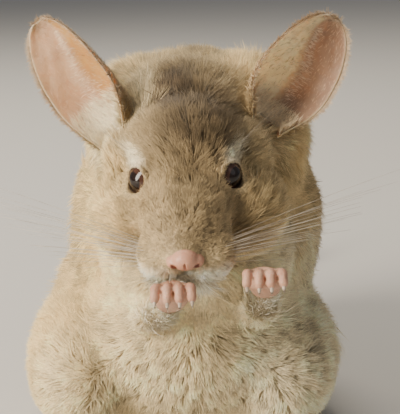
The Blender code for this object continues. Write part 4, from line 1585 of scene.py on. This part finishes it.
@dataclass
class Eye:
    """One eyeball with a slight cornea.

    Attributes:
        place: How the head is held.
        side: Which eye it is.
        bulge: How far the cornea stands out.
        iris: The iris's colour.
        pupil: The colour of the pupil, and of the ball round the iris.
    """

    place: Place
    side: Side
    bulge: float = 0.35
    iris: Colour = (0.075, 0.034, 0.022)
    pupil: Colour = (0.016, 0.009, 0.007)

    def build(self) -> bpy.types.Object:
        """Models the ball, its pole along the gaze, and paints iris and pupil.

        Returns:
            The eyeball.
        """
        centre, gaze = eye_place(self.place, self.side)
        turn = gaze.to_track_quat("Z", "Y").to_matrix().to_4x4()
        bm = bmesh.new()
        bmesh.ops.create_uvsphere(bm, u_segments=64, v_segments=48, radius=EYE_RADIUS)
        ahead = np.array([max(0.0, vert.co.z / EYE_RADIUS) for vert in bm.verts])
        for vert, share in zip(bm.verts, ahead):
            vert.co.z += self.bulge * max(0.0, (share - 0.75) / 0.25) ** 1.5
        matrix = self.place.to_frame() @ Matrix.Translation(centre) @ turn
        bmesh.ops.transform(bm, matrix=matrix, verts=bm.verts)
        eye = object_from(bm, f"eyeball_{self.side.word}")
        mottling = 0.75 + 0.5 * lattice_noise(rows_of(eye.data) / MM, 1.1, 5)
        dark = np.maximum(smooth_step(0.83, 0.87, ahead), smooth_fall(0.55, 0.66, ahead))
        paint(eye.data, blend(np.array(self.iris) * mottling[:, None], self.pupil, dark))
        finish_with(eye, WET_EYE.material(f"eye_{self.side.word}"))
        eye.data.shade_smooth()
        return eye


@dataclass
class Nose:
    """The bare pink nose, with a comma nostril on each side and a groove down the middle.

    Attributes:
        place: How the head is held.
        voxel: The size of its surface's squares.
        nostril_out: How far a nostril's middle lies from the groove.
        nostril_colour: The colour inside the nostrils: their darker skin with painted shade.
    """

    place: Place
    voxel: float = 0.28
    nostril_out: float = 3.9
    nostril_colour: Colour = (0.22, 0.10, 0.07)

    def build(self) -> bpy.types.Object:
        """Models the nose.

        Returns:
            The nose.
        """
        head = self.place.head_to_frame()
        tip = NOSE_TIP
        bm = bmesh.new()
        add_ellipsoid(bm, head, Blob((0, tip.y + 0.2, tip.z - 0.2), (4.9, 4.6, 4.0)))
        add_ellipsoid(bm, head, Blob((3.9, tip.y + 0.9, tip.z - 0.9), (2.9, 3.7, 2.5), 10, True))
        add_ellipsoid(bm, head, Blob((0, tip.y + 1.0, tip.z - 3.0), (1.9, 3.0, 1.9)))
        nose = object_from(bm, "nose_pad")
        fuse(nose, self.voxel, smoothing=14)
        bm = bmesh.new()
        for sign in (1, -1):
            comma = [
                Vector((sign * (self.nostril_out - 1.9), tip.y - 3.9, tip.z - 2.5)),
                Vector((sign * (self.nostril_out - 0.2), tip.y - 2.9, tip.z - 2.1)),
                Vector((sign * (self.nostril_out + 1.7), tip.y - 2.2, tip.z - 0.7)),
            ]
            add_limb(bm, head, smooth_path(comma, 7), [0.3, 0.55, 0.75, 0.8, 0.7, 0.5, 0.35], 12)
        combine(nose, object_from(bm, "nostrils"), "DIFFERENCE")
        groove = [
            Vector((0, tip.y - 4.2, tip.z + 0.4)),
            Vector((0, tip.y - 3.6, tip.z - 2.4)),
            Vector((0, tip.y - 1.8, tip.z - 5.4)),
        ]
        bm = bmesh.new()
        add_limb(bm, head, smooth_path(groove, 9), [0.15, 0.36, 0.44, 0.46] + [0.48] * 5, 8, 2.2)
        combine(nose, object_from(bm, "groove"), "DIFFERENCE")
        fuse(nose, self.voxel, smoothing=2)
        nose.data.shade_smooth()
        self._dress(nose)
        return nose

    def _dress(self, nose: bpy.types.Object) -> None:
        """Makes it pink, with painted shade inside the nostrils over their darker skin, and painted shade
        towards its back where the fur meets it.

        Args:
            nose: The nose.
        """
        offset = self.place.head_points(self.place.points_of(nose.data)) - np.array(NOSE_TIP)
        colour = np.ones((len(offset), 3))
        hollow_shade = np.zeros(len(offset))
        for sign in (1, -1):
            spot = np.array((sign * self.nostril_out, -1.9, -1.9))
            hollow_shade = np.maximum(hollow_shade, smooth_fall(0.7, 1.9, lengths(offset - spot)))
        # Inside the nostrils: their darker skin with painted shade.
        colour = blend(colour, self.nostril_colour, hollow_shade)
        # Darker towards the back, where the fur meets the nose: painted shade.
        paint(nose.data, colour * (1.0 - 0.25 * smooth_step(-1.5, 1.5, offset[:, 1]))[:, None])
        finish_with(nose, NOSE_SKIN.material("nose"))


class EarHair(Enum):
    """The kinds of hair on an ear: how many there are, and their colour."""

    BACK = (9500, (0.60, 0.46, 0.29))
    RIM = (5200, (0.68, 0.52, 0.35))
    CUP = (900, (0.70, 0.48, 0.32))
    FOLD = (420, (0.86, 0.66, 0.47))
    ROOT = (2600, (0.94, 0.82, 0.60))

    def __init__(self, count: int, colour: Colour) -> None:
        """Names the two values.

        Args:
            count: How many there are.
            colour: Their colour.
        """
        self.count = count
        self.colour = colour


@dataclass(frozen=True)
class EarLook:
    """How one ear stands, and its colours, which carry painted light and shade.

    Attributes:
        root: The middle of the ear's root in head axes, on the positive side.
        length: Its height above its root.
        lean_out: How far it leans to its side, in degrees.
        turn: How far its opening looks to its side, in degrees.
        fold_start: Where its strong fold starts, as a share of the half-width.
        outer: The colour of the cup outside the fold: the skin's tone with painted light and shade.
        inner: The colour of the wall inside the fold: the skin's tone with painted light and shade.
        pale_base: How pale the cup's base is; on the right ear this paleness is partly painted light.
        hair_tint: What the colour of the hair at its root is multiplied by; darker on the left ear as
            painted shade.
        hair_reach: How far up that hair grows, as a share of the height.
        hair_length: The length of the longest of it.
    """

    root: tuple[float, float, float]
    length: float
    lean_out: float
    turn: float
    fold_start: float
    outer: Colour
    inner: Colour
    pale_base: float
    hair_tint: Colour
    hair_reach: float
    hair_length: float


# Both ears have the same skin: how their colours differ, and much of the contrast across each fold, is
# painted light and shade.
EAR_LOOKS = {
    Side.LEFT: EarLook(
        root=(32.9, 23.4, 10.3), length=49.8, lean_out=33.7, turn=21.9, fold_start=-0.22,
        outer=(0.42, 0.265, 0.185), inner=(1.0, 0.69, 0.43), pale_base=0.0,
        hair_tint=(0.86, 0.80, 0.74), hair_reach=0.15, hair_length=4.5,
    ),
    Side.RIGHT: EarLook(
        root=(30.0, 20.6, 9.2), length=54.4, lean_out=31.9, turn=38.8, fold_start=-0.12,
        outer=(0.66, 0.40, 0.26), inner=(0.60, 0.31, 0.105), pale_base=0.95,
        hair_tint=(1.0, 1.0, 1.0), hair_reach=0.24, hair_length=7.0,
    ),
}


@dataclass
class Ear:
    """One large, thin, cupped ear with folds and fine veins.

    Attributes:
        place: How the head is held.
        side: Which ear it is.
        columns: How many squares the sheet has across.
        rows: How many it has from root to tip.
        half_width: Half of its width where it is widest.
        widest: How far up that is, as a share of its height.
        stalk: How wide its root is, as a share of the widest part.
        sweep: How far its middle bows to the side.
        taper: How much narrower each half is at the tip, the inner half first.
        thick: The sheet's thickness.
        lean_back: How far it leans back, in degrees.
        rim_colour: The colour of its rim.
        base_colour: The colour of a pale base, partly painted light.
    """

    place: Place
    side: Side
    columns: int = 72
    rows: int = 110
    half_width: float = 18.1
    widest: float = 0.45
    stalk: float = 0.40
    sweep: float = -6.4
    taper: tuple[float, float] = (0.08, 0.21)
    thick: float = 0.7
    lean_back: float = 7.2
    rim_colour: Colour = (0.66, 0.46, 0.31)
    base_colour: Colour = (0.98, 0.86, 0.66)

    @property
    def look(self) -> EarLook:
        """How this side's ear stands, and its colours."""
        return EAR_LOOKS[self.side]

    def axes(self) -> Matrix:
        """The ear's own axes in the animal's: X across, Y out of the opening, Z up the ear.

        Returns:
            The axes, in millimetres.
        """
        sign = self.side.value
        lean_out, turn = math.radians(self.look.lean_out), math.radians(self.look.turn)
        up = Vector((sign * math.sin(lean_out), math.sin(math.radians(self.lean_back)), 0))
        up.z = math.sqrt(1 - up.x ** 2 - up.y ** 2)
        opening = Vector((sign * math.sin(turn), -math.cos(turn), 0))
        opening = (opening - up * opening.dot(up)).normalized()
        across = opening.cross(up).normalized()
        at = self.place.head() @ mirrored(Vector(self.look.root), sign)
        return Matrix.Translation(at) @ Matrix((across, opening, up)).transposed().to_4x4()

    def profile(self, along: np.ndarray) -> tuple[np.ndarray, np.ndarray]:
        """How far the sheet wraps round, and the radius that it wraps with.

        Args:
            along: From 0 at the root to 1 at the tip.

        Returns:
            The angle from the middle to the edge, and the radius in millimetres.
        """
        wrap = np.radians(118 - 72 * np.minimum(1.0, along / 0.75) ** 0.8)
        rise = np.clip(along / self.widest, 0, 1)
        fall = np.clip((along - self.widest) / (1 - self.widest), 0, 1)
        low = self.stalk + (1 - self.stalk) * np.sin(rise * math.pi / 2) ** 1.15
        high = np.sqrt(np.clip(1 - fall ** 2.2, 0, 1))
        half = np.maximum(self.half_width * np.where(along < self.widest, low, high), 1.4)
        return wrap, half / np.maximum(np.sin(np.minimum(wrap, math.pi / 2)), 0.2)

    def holds(self, points: np.ndarray) -> np.ndarray:
        """Which points lie inside the cup.

        Args:
            points: Rows in millimetres, in the animal's axes.

        Returns:
            A truth for each row.
        """
        back = np.array(self.axes().inverted())
        x, y, z = (points @ back[:3, :3].T + back[:3, 3]).T
        along = np.clip(z / self.look.length, 0.0, 1.0)
        wrap, radius = self.profile(along)
        x = x - self.side.value * self.sweep * (along ** 2 - 0.6 * along)
        angle = np.arcsin(np.clip(x / radius, -1.0, 1.0))
        floor = -radius * (np.cos(angle) - np.cos(wrap)) * 0.8 - 5.0 * along ** 2
        return (z > 2.0) & (np.abs(x) < radius) & (y > floor - 0.6) & (y < 0.8)

    def surface(self, across: np.ndarray, along: np.ndarray) -> np.ndarray:
        """Points of the ear's sheet.

        Args:
            across: From -1 to 1, from edge to edge.
            along: From 0 at the root to 1 at the tip.

        Returns:
            Points in the ear's own axes, in millimetres.
        """
        wrap, radius = self.profile(along)
        angle = wrap * across
        x = radius * np.sin(angle)
        y = -radius * (np.cos(angle) - np.cos(wrap)) * 0.8 - 5.0 * along ** 2
        sign = self.side.value
        x = x * (1.0 - np.where(across * sign < 0, *self.taper) * along)
        x = x + sign * self.sweep * (along ** 2 - 0.6 * along)
        z = self.look.length * (along - 0.06 * np.abs(across) ** 2 * (1 - along))
        # Shallow ribs run up the cup, one of them strong, and the rim rolls in a little
        fold = self.fold(across, along)
        ribs = 1.3 * bell(fold / 0.16, 1.6)
        for at, width, height in ((0.36, 0.18, -0.4), (0.66, 0.12, 0.35), (0.98, 0.10, 0.25)):
            ribs = ribs + height * bell((fold - at - 0.06 * np.sin(along * 6.0)) / width)
        ribs = ribs * smooth_step(0.04, 0.3, along) * smooth_fall(0.78, 0.98, along)
        wave = 0.5 * np.sin(across * 9.0 + along * 7.0) * np.abs(across) ** 3
        rim = 0.6 * smooth_step(0.6, 1.0, np.abs(across)) * (1.0 - along)
        return np.stack([x, y + ribs + wave + rim, z], axis=-1)

    def fold(self, across: np.ndarray, along: np.ndarray) -> np.ndarray:
        """How far each point lies to the outer side of the fold that runs up the ear.

        Args:
            across: From -1 to 1; the animal's right side of the ear is positive.
            along: From 0 at the root to 1 at the tip.

        Returns:
            The share of the half-width, negative on the inner wall.
        """
        return self.look.fold_start - across * self.side.value + 0.45 * smooth_step(0.45, 0.92, along)

    def build(self) -> bpy.types.Object:
        """Models the ear.

        Returns:
            The ear.
        """
        bm = bmesh.new()
        bmesh.ops.create_grid(bm, x_segments=self.columns, y_segments=self.rows, size=0.5)
        flat = np.array([vert.co[:] for vert in bm.verts])
        across = flat[:, 0] * 2
        along = 0.992 * (1 - (0.5 - flat[:, 1]) ** 1.5)
        matrix = self.place.to_frame() @ self.axes()
        for vert, point in zip(bm.verts, self.surface(across, along)):
            vert.co = matrix @ Vector(point)
        bmesh.ops.recalc_face_normals(bm, faces=bm.faces)
        ear = object_from(bm, f"ear_shell_{self.side.word}")
        self._paint(ear, across, along)
        solid = ear.modifiers.new("thickness", "SOLIDIFY")
        solid.thickness = self.thick * MM
        solid.offset = 0.0
        solid.use_even_offset = True
        solid.use_rim = True
        apply_modifiers(ear)
        ear.data.shade_smooth()
        finish_with(ear, EAR_SKIN.material(f"ear_{self.side.word}"))
        return ear

    def _paint(self, ear: bpy.types.Object, across: np.ndarray, along: np.ndarray) -> None:
        """Colours the two sides of the fold, the base and the rim, with painted light and shade on the two
        sides, painted shade in a hollow, and partly painted light on a pale base.

        Args:
            ear: The ear's sheet.
            across: Each vertex's place from edge to edge, from -1 to 1.
            along: Its place from root to tip, from 0 to 1.
        """
        fold = self.fold(across, along)
        # The two sides of the fold: the skin's tones with painted light and shade.
        colour = np.tile(np.array(self.look.outer), (len(across), 1))
        colour = blend(colour, self.look.inner, 0.95 * smooth_step(-0.05, 0.18, -fold))
        # Painted shade in a hollow of the cup.
        hollow_shade = bell((fold - 0.55) / 0.4) * smooth_step(0.1, 0.4, along)
        colour = colour * (1.0 - 0.12 * hollow_shade)[:, None]
        # A pale base, partly painted light on the right ear.
        low = smooth_fall(0.0, 0.34, along)
        colour = blend(colour, self.base_colour, self.look.pale_base * low)
        rim = np.maximum(smooth_step(0.92, 1.0, np.abs(across)), smooth_step(0.95, 1.0, along))
        rim_colour = blend(np.tile(np.array(self.rim_colour), (len(across), 1)), BEIGE, low)
        spots = lattice_noise(np.stack([across * 19, along * 56, across * 0], axis=1), 5.0, 31)
        paint(ear.data, blend(colour, rim_colour, rim) * (0.93 + 0.14 * spots)[:, None])

    def fuzz(self, coat: Coat, seed: int, share: float) -> bpy.types.Object:
        """Grows the ear's fine hairs: dense outside and at the rim, thin in the cup, long at its root.

        Args:
            coat: Joins the hairs.
            seed: The seed of the draw.
            share: How many of them, as a share.

        Returns:
            The hairs.
        """
        rng = np.random.default_rng(seed)
        groups = [self._hairs(kind, int(kind.count * share), rng) for kind in EarHair]
        base, way, out, length, colour = (np.concatenate(parts) for parts in zip(*groups))
        axes = np.array(self.axes())
        turn = axes[:3, :3]
        base, way, out = base @ turn.T + axes[:3, 3], way @ turn.T, out @ turn.T
        middle = base + way * length * 0.5
        tip = base + unit(way + np.array((0.0, 0.0, -0.18))) * length
        shades = [colour * 0.8, colour, colour * 1.1]
        centre = Vector(axes[:3, 3]) + Vector(axes[:3, 2]) * self.look.length * 0.5
        name = f"ear_fuzz_{self.side.word}"
        return coat.strands(name, (base, middle, tip, out), shades, 0.2, rng, centre)

    def _hairs(self, kind: EarHair, count: int, rng: np.random.Generator) -> tuple:
        """Draws the hairs of one kind.

        Args:
            kind: The kind.
            count: How many.
            rng: Draws their places, ways, lengths and colours.

        Returns:
            Their roots, ways, outward directions, lengths and colours, in the ear's own axes.
        """
        across, along, length = self._spots(kind, count, rng)
        here = self.surface(across, along)
        up_way = unit(self.surface(across, np.minimum(along + 0.02, 0.995)) - here)
        beside = self.surface(np.clip(across + 0.02, -1.0, 1.0), along)
        side_way = unit(beside - self.surface(np.clip(across - 0.02, -1.0, 1.0), along))
        out = unit(np.cross(side_way, up_way))
        out = out * np.where((out * (here * np.array((1, 1, 0)))).sum(axis=1) < 0, -1.0, 1.0)[:, None]
        if kind in (EarHair.CUP, EarHair.FOLD, EarHair.ROOT):
            out = -out
        way = up_way + out * (0.7 if kind is EarHair.ROOT else 0.3)
        if kind is EarHair.RIM:
            aside = smooth_step(0.85, 0.95, np.abs(across)) * smooth_step(0.12, 0.45, along)
            way = way * 0.5 + side_way * (np.sign(across) * aside)[:, None]
        elif kind is EarHair.FOLD:
            way = way * 0.35 - side_way * self.side.value
        way = unit(way + rng.normal(0.0, 0.30 if kind is EarHair.RIM else 0.18, (count, 3)))
        length = length * (0.7 + 0.5 * rng.random(count))
        colour = np.array(kind.colour) * (0.85 + 0.3 * rng.random(count))[:, None]
        if kind is EarHair.ROOT:
            # Darker on the left ear as painted shade.
            colour = colour * np.array(self.look.hair_tint)
        elif kind in (EarHair.RIM, EarHair.BACK):
            colour = blend(colour, BEIGE, smooth_fall(0.05, 0.36, along))
        return here + out * self.thick * 0.4, way, out, length[:, None], colour

    def _spots(self, kind: EarHair, count: int, rng: np.random.Generator) -> tuple:
        """Where one kind of hair grows on the sheet, and how long it is.

        Args:
            kind: The kind.
            count: How many there are.
            rng: Draws their places and lengths.

        Returns:
            Their places across and along the sheet, and their lengths.
        """
        across = rng.uniform(-0.98, 0.98, count)
        along = rng.uniform(0.04, 0.98, count)
        if kind is EarHair.RIM:
            edge = rng.random(count) < 0.8
            across = np.where(edge, np.sign(across) * (1.0 - 0.06 * rng.random(count) ** 2), across * 0.9)
            along = np.where(edge, along, rng.uniform(0.94, 0.99, count))
            return across, along, 0.6 + 2.6 * rng.random(count) ** 1.6
        if kind is EarHair.CUP:
            return across, along, rng.uniform(1.2, 2.6, count)
        if kind is EarHair.FOLD:
            along = rng.uniform(0.25, 0.85, count)
            across = (rng.normal(0.0, 0.10, count) + self.fold(np.zeros(count), along)) * self.side.value
            return np.clip(across, -0.9, 0.9), along, rng.uniform(1.6, 3.4, count)
        if kind is EarHair.ROOT:
            along = 0.02 + self.look.hair_reach * rng.random(count) ** 2
            return across, along, rng.uniform(2.5, self.look.hair_length, count)
        low = rng.random(count) < 0.3
        along = np.where(low, rng.uniform(0.0, 0.3, count), along)
        return across, along, rng.uniform(1.6, 3.0, count) + 4.0 * smooth_fall(0.0, 0.3, along)


@dataclass
class Paw:
    """One fore paw or hind foot, with its claws as a piece of their own.

    Attributes:
        place: Where the animal stands.
        side: Which side's it is.
        foot_length: The hind foot's length.
    """

    place: Place
    side: Side
    foot_length: float = 58.0

    def hand(self) -> tuple[bpy.types.Object, bpy.types.Object]:
        """Models a fore paw, its fingers curled down as over an edge.

        Returns:
            The paw and its claws.
        """
        knuckles, wrist = KNUCKLES[self.side], WRIST[self.side]
        bm, nails = bmesh.new(), bmesh.new()
        start = wrist + (wrist - knuckles).normalized() * 3.0
        palm = smooth_path([start, wrist.lerp(knuckles, 0.45), knuckles + Vector((0, 1.5, 0))], 7)
        add_limb(bm, self.place.to_frame(), palm, (5.0, 5.6, 6.2, 6.8, 7.1, 6.8, 4.6), 20, 0.62)
        rounds = (0.95, 1.0, 1.02, 1.0, 1.12, 1.14, 1.0, 0.96, 1.05, 0.98, 0.6)
        claw_rounds = (0.7, 0.72, 0.68, 0.6, 0.5, 0.36, 0.22, 0.06)
        for k in range(4):
            spot = k - 1.5
            size = 1.0 - 0.10 * abs(spot)
            base = knuckles + Vector((spot * 3.4, 3.5, -0.5))
            bend = knuckles + Vector((spot * 4.1, -3.0 * size, 1.1))
            tip = knuckles + Vector((spot * 4.3, -5.4 * size, -3.6 * size))
            path = smooth_path([base, bend, tip], 11)
            pad = Blob(tuple(path[-2] + Vector((0, 0.8, -0.5))), (1.35, 1.2, 1.3))
            end, down = path[-1], (path[-1] - path[-4]).normalized()
            bow = Vector((0, -0.5, 0))
            claw = [
                end - down * 1.4 + bow, end + bow, end + down * 1.3 + bow * 0.6,
                end + down * 2.0 + Vector((0, 0.2, 0)),
            ]
            self._add_toe(bm, nails, path, [1.68 * r for r in rounds], pad, claw, claw_rounds)
        return self._finished(bm, nails, "hand")

    def foot(self) -> tuple[bpy.types.Object, bpy.types.Object]:
        """Models a long hind foot with its toes, flat on the floor.

        Returns:
            The foot and its claws.
        """
        sign = self.side.value
        axes = Matrix.Translation(Vector((41.0 * sign - 5.0, 12, 0)))
        axes = axes @ Matrix.Rotation(math.radians(8.0) * sign, 4, "Z")
        bm, nails = bmesh.new(), bmesh.new()
        stations = (0.02, 0.10, 0.22, 0.36, 0.50, 0.62, 0.72)
        path = [axes @ Vector((0, -self.foot_length * s, 4.4)) for s in stations]
        add_limb(bm, self.place.to_frame(), path, (3.4, 5.0, 5.2, 5.3, 5.7, 5.9, 4.8), 20, 0.72)
        rounds = (0.9, 1.0, 1.05, 1.0, 1.1, 1.1, 0.95, 0.92, 0.9, 0.55)
        claw_rounds = (0.85, 0.85, 0.8, 0.7, 0.5, 0.3, 0.08)
        for k in (-1, 0, 1):
            base = axes @ Vector((k * 3.7, -self.foot_length * 0.62, 4.4))
            bend = axes @ Vector((k * 5.0, -self.foot_length * 0.84, 4.1))
            tip = axes @ Vector((k * 5.5, -self.foot_length * (0.985 - 0.075 * abs(k)), 2.2))
            path = smooth_path([base, bend, tip], 10)
            pad = Blob(tuple(path[-2] + Vector((0, 0, -0.9))), (1.9, 2.2, 1.2))
            end, ahead = path[-1], (path[-1] - path[-3]).normalized()
            claw = [
                end - ahead * 1.2 + Vector((0, 0, 0.5)), end + ahead * 0.8 + Vector((0, 0, 0.7)),
                end + ahead * 2.6 + Vector((0, 0, -0.3)),
            ]
            self._add_toe(bm, nails, path, [2.5 * r for r in rounds], pad, claw, claw_rounds)
        return self._finished(bm, nails, "foot")

    def _add_toe(
        self, bm: bmesh.types.BMesh, nails: bmesh.types.BMesh, path: list, radii: list, pad: Blob,
        claw: list, claw_radii: tuple
    ) -> None:
        """Adds a finger or toe with its pad and its claw.

        Args:
            bm: What the flesh is added to.
            nails: What the claw is added to.
            path: The toe's middle line.
            radii: Its radii along that line.
            pad: The pad under its tip.
            claw: What the claw's middle line passes through.
            claw_radii: The claw's radii along its line.
        """
        to_frame = self.place.to_frame()
        add_limb(bm, to_frame, path, radii, 14)
        add_ellipsoid(bm, to_frame, pad, detail=3)
        add_limb(nails, to_frame, smooth_path(claw, len(claw_radii)), claw_radii, 10)

    def _finished(
        self, bm: bmesh.types.BMesh, nails: bmesh.types.BMesh, kind: str
    ) -> tuple[bpy.types.Object, bpy.types.Object]:
        """Melts the paw into one skin, flattens its sole and gives both pieces their finish.

        Args:
            bm: The paw's flesh.
            nails: Its claws.
            kind: Hand or foot.

        Returns:
            The paw and its claws.
        """
        paw = object_from(bm, f"{kind}_skin_{self.side.word}")
        fuse(paw, voxel=0.42, smoothing=5)
        raise_above(paw.data, 0.05)
        paw.data.shade_smooth()
        finish_with(paw, PAW_SKIN.material(f"{kind}_{self.side.word}"))
        claws = object_from(nails, f"{kind}_claws_{self.side.word}")
        claws.data.shade_smooth()
        finish_with(claws, CLAW.material(f"{kind}_claws_{self.side.word}"))
        return paw, claws


LONGEST_WHISKER = {Side.LEFT: 77.5, Side.RIGHT: 88.5}


@dataclass
class Whiskers:
    """The long whiskers of both pads, and short ones over the eyes.

    Attributes:
        place: How the head is held.
        rows: How many rows a pad has.
        in_row: How many whiskers a row has.
        root_radius: A whisker's radius at its root.
        tip_radius: Its radius at its tip.
    """

    place: Place
    rows: int = 5
    in_row: int = 5
    root_radius: float = 0.12
    tip_radius: float = 0.03

    def build(self) -> bpy.types.Object:
        """Models all whiskers as one joined mesh.

        Returns:
            The whiskers.
        """
        rng = np.random.default_rng(17)
        bm = bmesh.new()
        for side in Side:
            for row in range(self.rows):
                for k in range(self.in_row):
                    back = k / (self.in_row - 1)
                    level = row / (self.rows - 1) * 2
                    root = Vector((9.6 + 2.6 * back, -40.5 + 7.2 * back, -10.2 - 2.6 * level))
                    rise = 0.22 - 0.12 * level + 0.10 * (rng.random() - 0.5) + 0.08 * back
                    rear = 0.08 + 0.06 * level + 0.20 * back + 0.05 * rng.random()
                    share = (0.50 + 0.46 * back) * (0.85 + 0.2 * rng.random()) * (1 - 0.10 * level)
                    self._hair(bm, side, root, Vector((1.0, rear, rise)), LONGEST_WHISKER[side] * share)
            for k in range(3):
                root = Vector((18.5 + k * 1.2, -1 + 2.0 * k, 10.5))
                way = Vector((0.75, 0.25, 0.55 + 0.2 * rng.random()))
                self._hair(bm, side, root, way, 20.0 + 8.0 * rng.random(), 0.5)
        whiskers = object_from(bm, "whisker_hairs")
        whiskers.data.shade_smooth()
        finish_with(whiskers, WHISKER.material("whisker_hairs"))
        return whiskers

    def _hair(
        self, bm: bmesh.types.BMesh, side: Side, root: Vector, way: Vector, length: float, thin: float = 1.0
    ) -> None:
        """Adds one tapered, drooping hair.

        Args:
            bm: What it is added to.
            side: Which side it grows on.
            root: Its root in head axes, on the positive side.
            way: The way that it starts in, at any length.
            length: Its length.
            thin: Its thickness as a share of the usual one.
        """
        way = way.normalized()
        droop = Vector((0, 0.10, -0.10)) * length
        points, radii = [], []
        for i in range(9):
            t = i / 8
            points.append(mirrored(root + way * (length * t) + droop * t * t, side.value))
            radii.append((self.root_radius + (self.tip_radius - self.root_radius) * t) * thin)
        add_limb(bm, self.place.head_to_frame(), points, radii, 5)


@dataclass(frozen=True)
class Lamp:
    """One soft light that looks at the animal.

    Attributes:
        name: Its name.
        at: Its place in metres.
        size: Its width and height in metres.
        power: Its power in watts.
        colour: Its colour.
    """

    name: str
    at: tuple[float, float, float]
    size: tuple[float, float]
    power: float
    colour: Colour


@dataclass
class Studio:
    """The floor, the light and the camera.

    Attributes:
        place: Where the animal stands.
        distance: From the camera to the point between the eyes.
        lowered: How far the camera looks down, in degrees.
        roll: How far the camera is turned about its view, in degrees.
        lens: The focal length.
        framing: How far the picture is shifted, as shares of its width.
        lamps: The lights: a soft warm key from the camera's left, a weak fill, and one from behind.
    """

    place: Place
    distance: float = 400.0
    lowered: float = 14.0
    roll: float = 1.5
    lens: float = 96.12
    framing: tuple[float, float] = (0.0375, -0.0775)
    lamps: tuple[Lamp, ...] = (
        Lamp("key", (-1.06, -0.76, 0.74), (0.55, 1.35), 41.0, (1.0, 0.91, 0.77)),
        Lamp("fill", (0.95, -0.6, 0.75), (0.9, 0.9), 0.9, (0.94, 0.96, 1.0)),
        Lamp("back", (-0.20, 0.75, 1.2), (0.9, 0.9), 14.5, (1.0, 0.91, 0.76)),
    )

    def floor(self) -> None:
        """Lays a plain pale floor, half a millimetre under the animal."""
        bm = bmesh.new()
        bmesh.ops.create_grid(bm, x_segments=1, y_segments=1, size=12.0)
        floor = object_from(bm, "floor")
        floor.location.z = -0.5 * MM
        bench = NodeBench("floor")
        bench.shader.inputs["Base Color"].default_value = (0.62, 0.60, 0.57, 1.0)
        bench.shader.inputs["Roughness"].default_value = 0.8
        finish_with(floor, bench.material)

    def lights(self) -> None:
        """Sets the lamps and an even, dim surround."""
        aim = Vector((0.0, -0.05, 0.10))
        for lamp in self.lamps:
            light = bpy.data.lights.new(lamp.name, "AREA")
            light.energy = lamp.power
            light.shape = "ELLIPSE"
            light.size, light.size_y = lamp.size
            light.color = lamp.colour
            obj = bpy.data.objects.new(lamp.name, light)
            bpy.context.scene.collection.objects.link(obj)
            obj.location = lamp.at
            obj.rotation_euler = (aim - Vector(lamp.at)).to_track_quat("-Z", "Y").to_euler()
        world = bpy.data.worlds.new("surround")
        world.use_nodes = True
        background = world.node_tree.nodes["Background"]
        background.inputs["Color"].default_value = (0.80, 0.82, 0.86, 1.0)
        background.inputs["Strength"].default_value = 0.21
        bpy.context.scene.world = world

    def camera(self) -> None:
        """Sets the camera at the photograph's viewing angle."""
        target = (Vector(self.place.head_at) + self.place.shift) * MM
        down = math.radians(self.lowered)
        at = target + Vector((0, -math.cos(down), math.sin(down))) * self.distance * MM
        ahead = (target - at).normalized()
        level = Vector((1, 0, 0))
        upright = level.cross(ahead)
        roll = math.radians(self.roll)
        right = level * math.cos(roll) - upright * math.sin(roll)
        up = level * math.sin(roll) + upright * math.cos(roll)
        data = bpy.data.cameras.new("camera")
        data.sensor_fit = "HORIZONTAL"
        data.sensor_width = 36.0
        data.lens = self.lens
        data.shift_x, data.shift_y = self.framing
        data.clip_start = 0.01
        camera = bpy.data.objects.new("camera", data)
        bpy.context.scene.collection.objects.link(camera)
        camera.matrix_world = Matrix.Translation(at) @ Matrix((right, up, -ahead)).transposed().to_4x4()
        bpy.context.scene.camera = camera


@dataclass
class Chinchilla:
    """The whole animal: each of its parts is built, dressed and tied to the frame.

    Attributes:
        place: Where it stands.
        share: How many of the coat's tufts are grown, as a share.
    """

    place: Place
    share: float = 1.0

    def build(self) -> None:
        """Builds all pieces."""
        coat = Coat(self.place, CoatDepth(self.place), Markings(self.place))
        skin_maker = Skin(self.place, coat.depth)
        skin = skin_maker.build()
        skin_maker.dress(skin, coat.markings)
        self._tie(skin, "coat", *FLESH_NODES)
        for side in Side:
            self._tie(Eye(self.place, side).build(), "eye", f"eye_{side.word}")
            paw = Paw(self.place, side)
            for kind, pieces in (("hand", paw.hand()), ("foot", paw.foot())):
                for piece in pieces:
                    self._tie(piece, "paw_skin", f"{kind}_{side.word}")
            self._tie(Ear(self.place, side).build(), "ear_skin", f"ear_{side.word}")
        self._tie(Nose(self.place).build(), "paw_skin", "nose")
        self._tie(Whiskers(self.place).build(), "coat", "whisker_pad_left", "whisker_pad_right")
        self._grow(coat, skin)

    def _grow(self, coat: Coat, skin: bpy.types.Object) -> None:
        """Grows every region of the coat, and the fine hair of the ears.

        Args:
            coat: The coat.
            skin: The skin that it grows on.
        """
        fur = COAT.material("coat")
        for number, region in enumerate(Region):
            growth = GROWTHS[region]
            roots = coat.scatter(skin.data, region, int(growth.count * self.share), 40 + number)
            piece = coat.grow(f"coat_{region.value}", roots, growth, 80 + number)
            finish_with(piece, fur)
            self._tie(piece, "coat", "torso")
            LOG.info("%s: %d tufts", piece.name, len(piece.data.polygons) // 2)
        for side in Side:
            fuzz = Ear(self.place, side).fuzz(coat, 60 + side.value, self.share)
            finish_with(fuzz, fur)
            self._tie(fuzz, "coat", f"ear_{side.word}")

    @staticmethod
    def _tie(piece: bpy.types.Object, slot: str, *nodes: str) -> None:
        """Ties a piece to the frame, in the place of its nodes.

        Args:
            piece: The piece.
            slot: Not used.
            nodes: The nodes that it replaces.
        """
        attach(piece, "root")
        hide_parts(*nodes)
        LOG.info("built %s for %s", piece.name, ", ".join(nodes))


def main() -> None:
    """Builds the animal in the frame, and the studio around it."""
    logging.basicConfig(level=logging.INFO)
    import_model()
    low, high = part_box("eye_left")
    designed, _ = eye_place(Place(), Side.LEFT)
    place = Place(shift=(Vector(low) + Vector(high)) / 2 / MM - designed)
    LOG.info("shift %s mm", tuple(round(c, 3) for c in place.shift))
    Chinchilla(place, 1.0).build()
    studio = Studio(place)
    studio.floor()
    studio.lights()
    studio.camera()


if __name__ == "__main__":
    main()
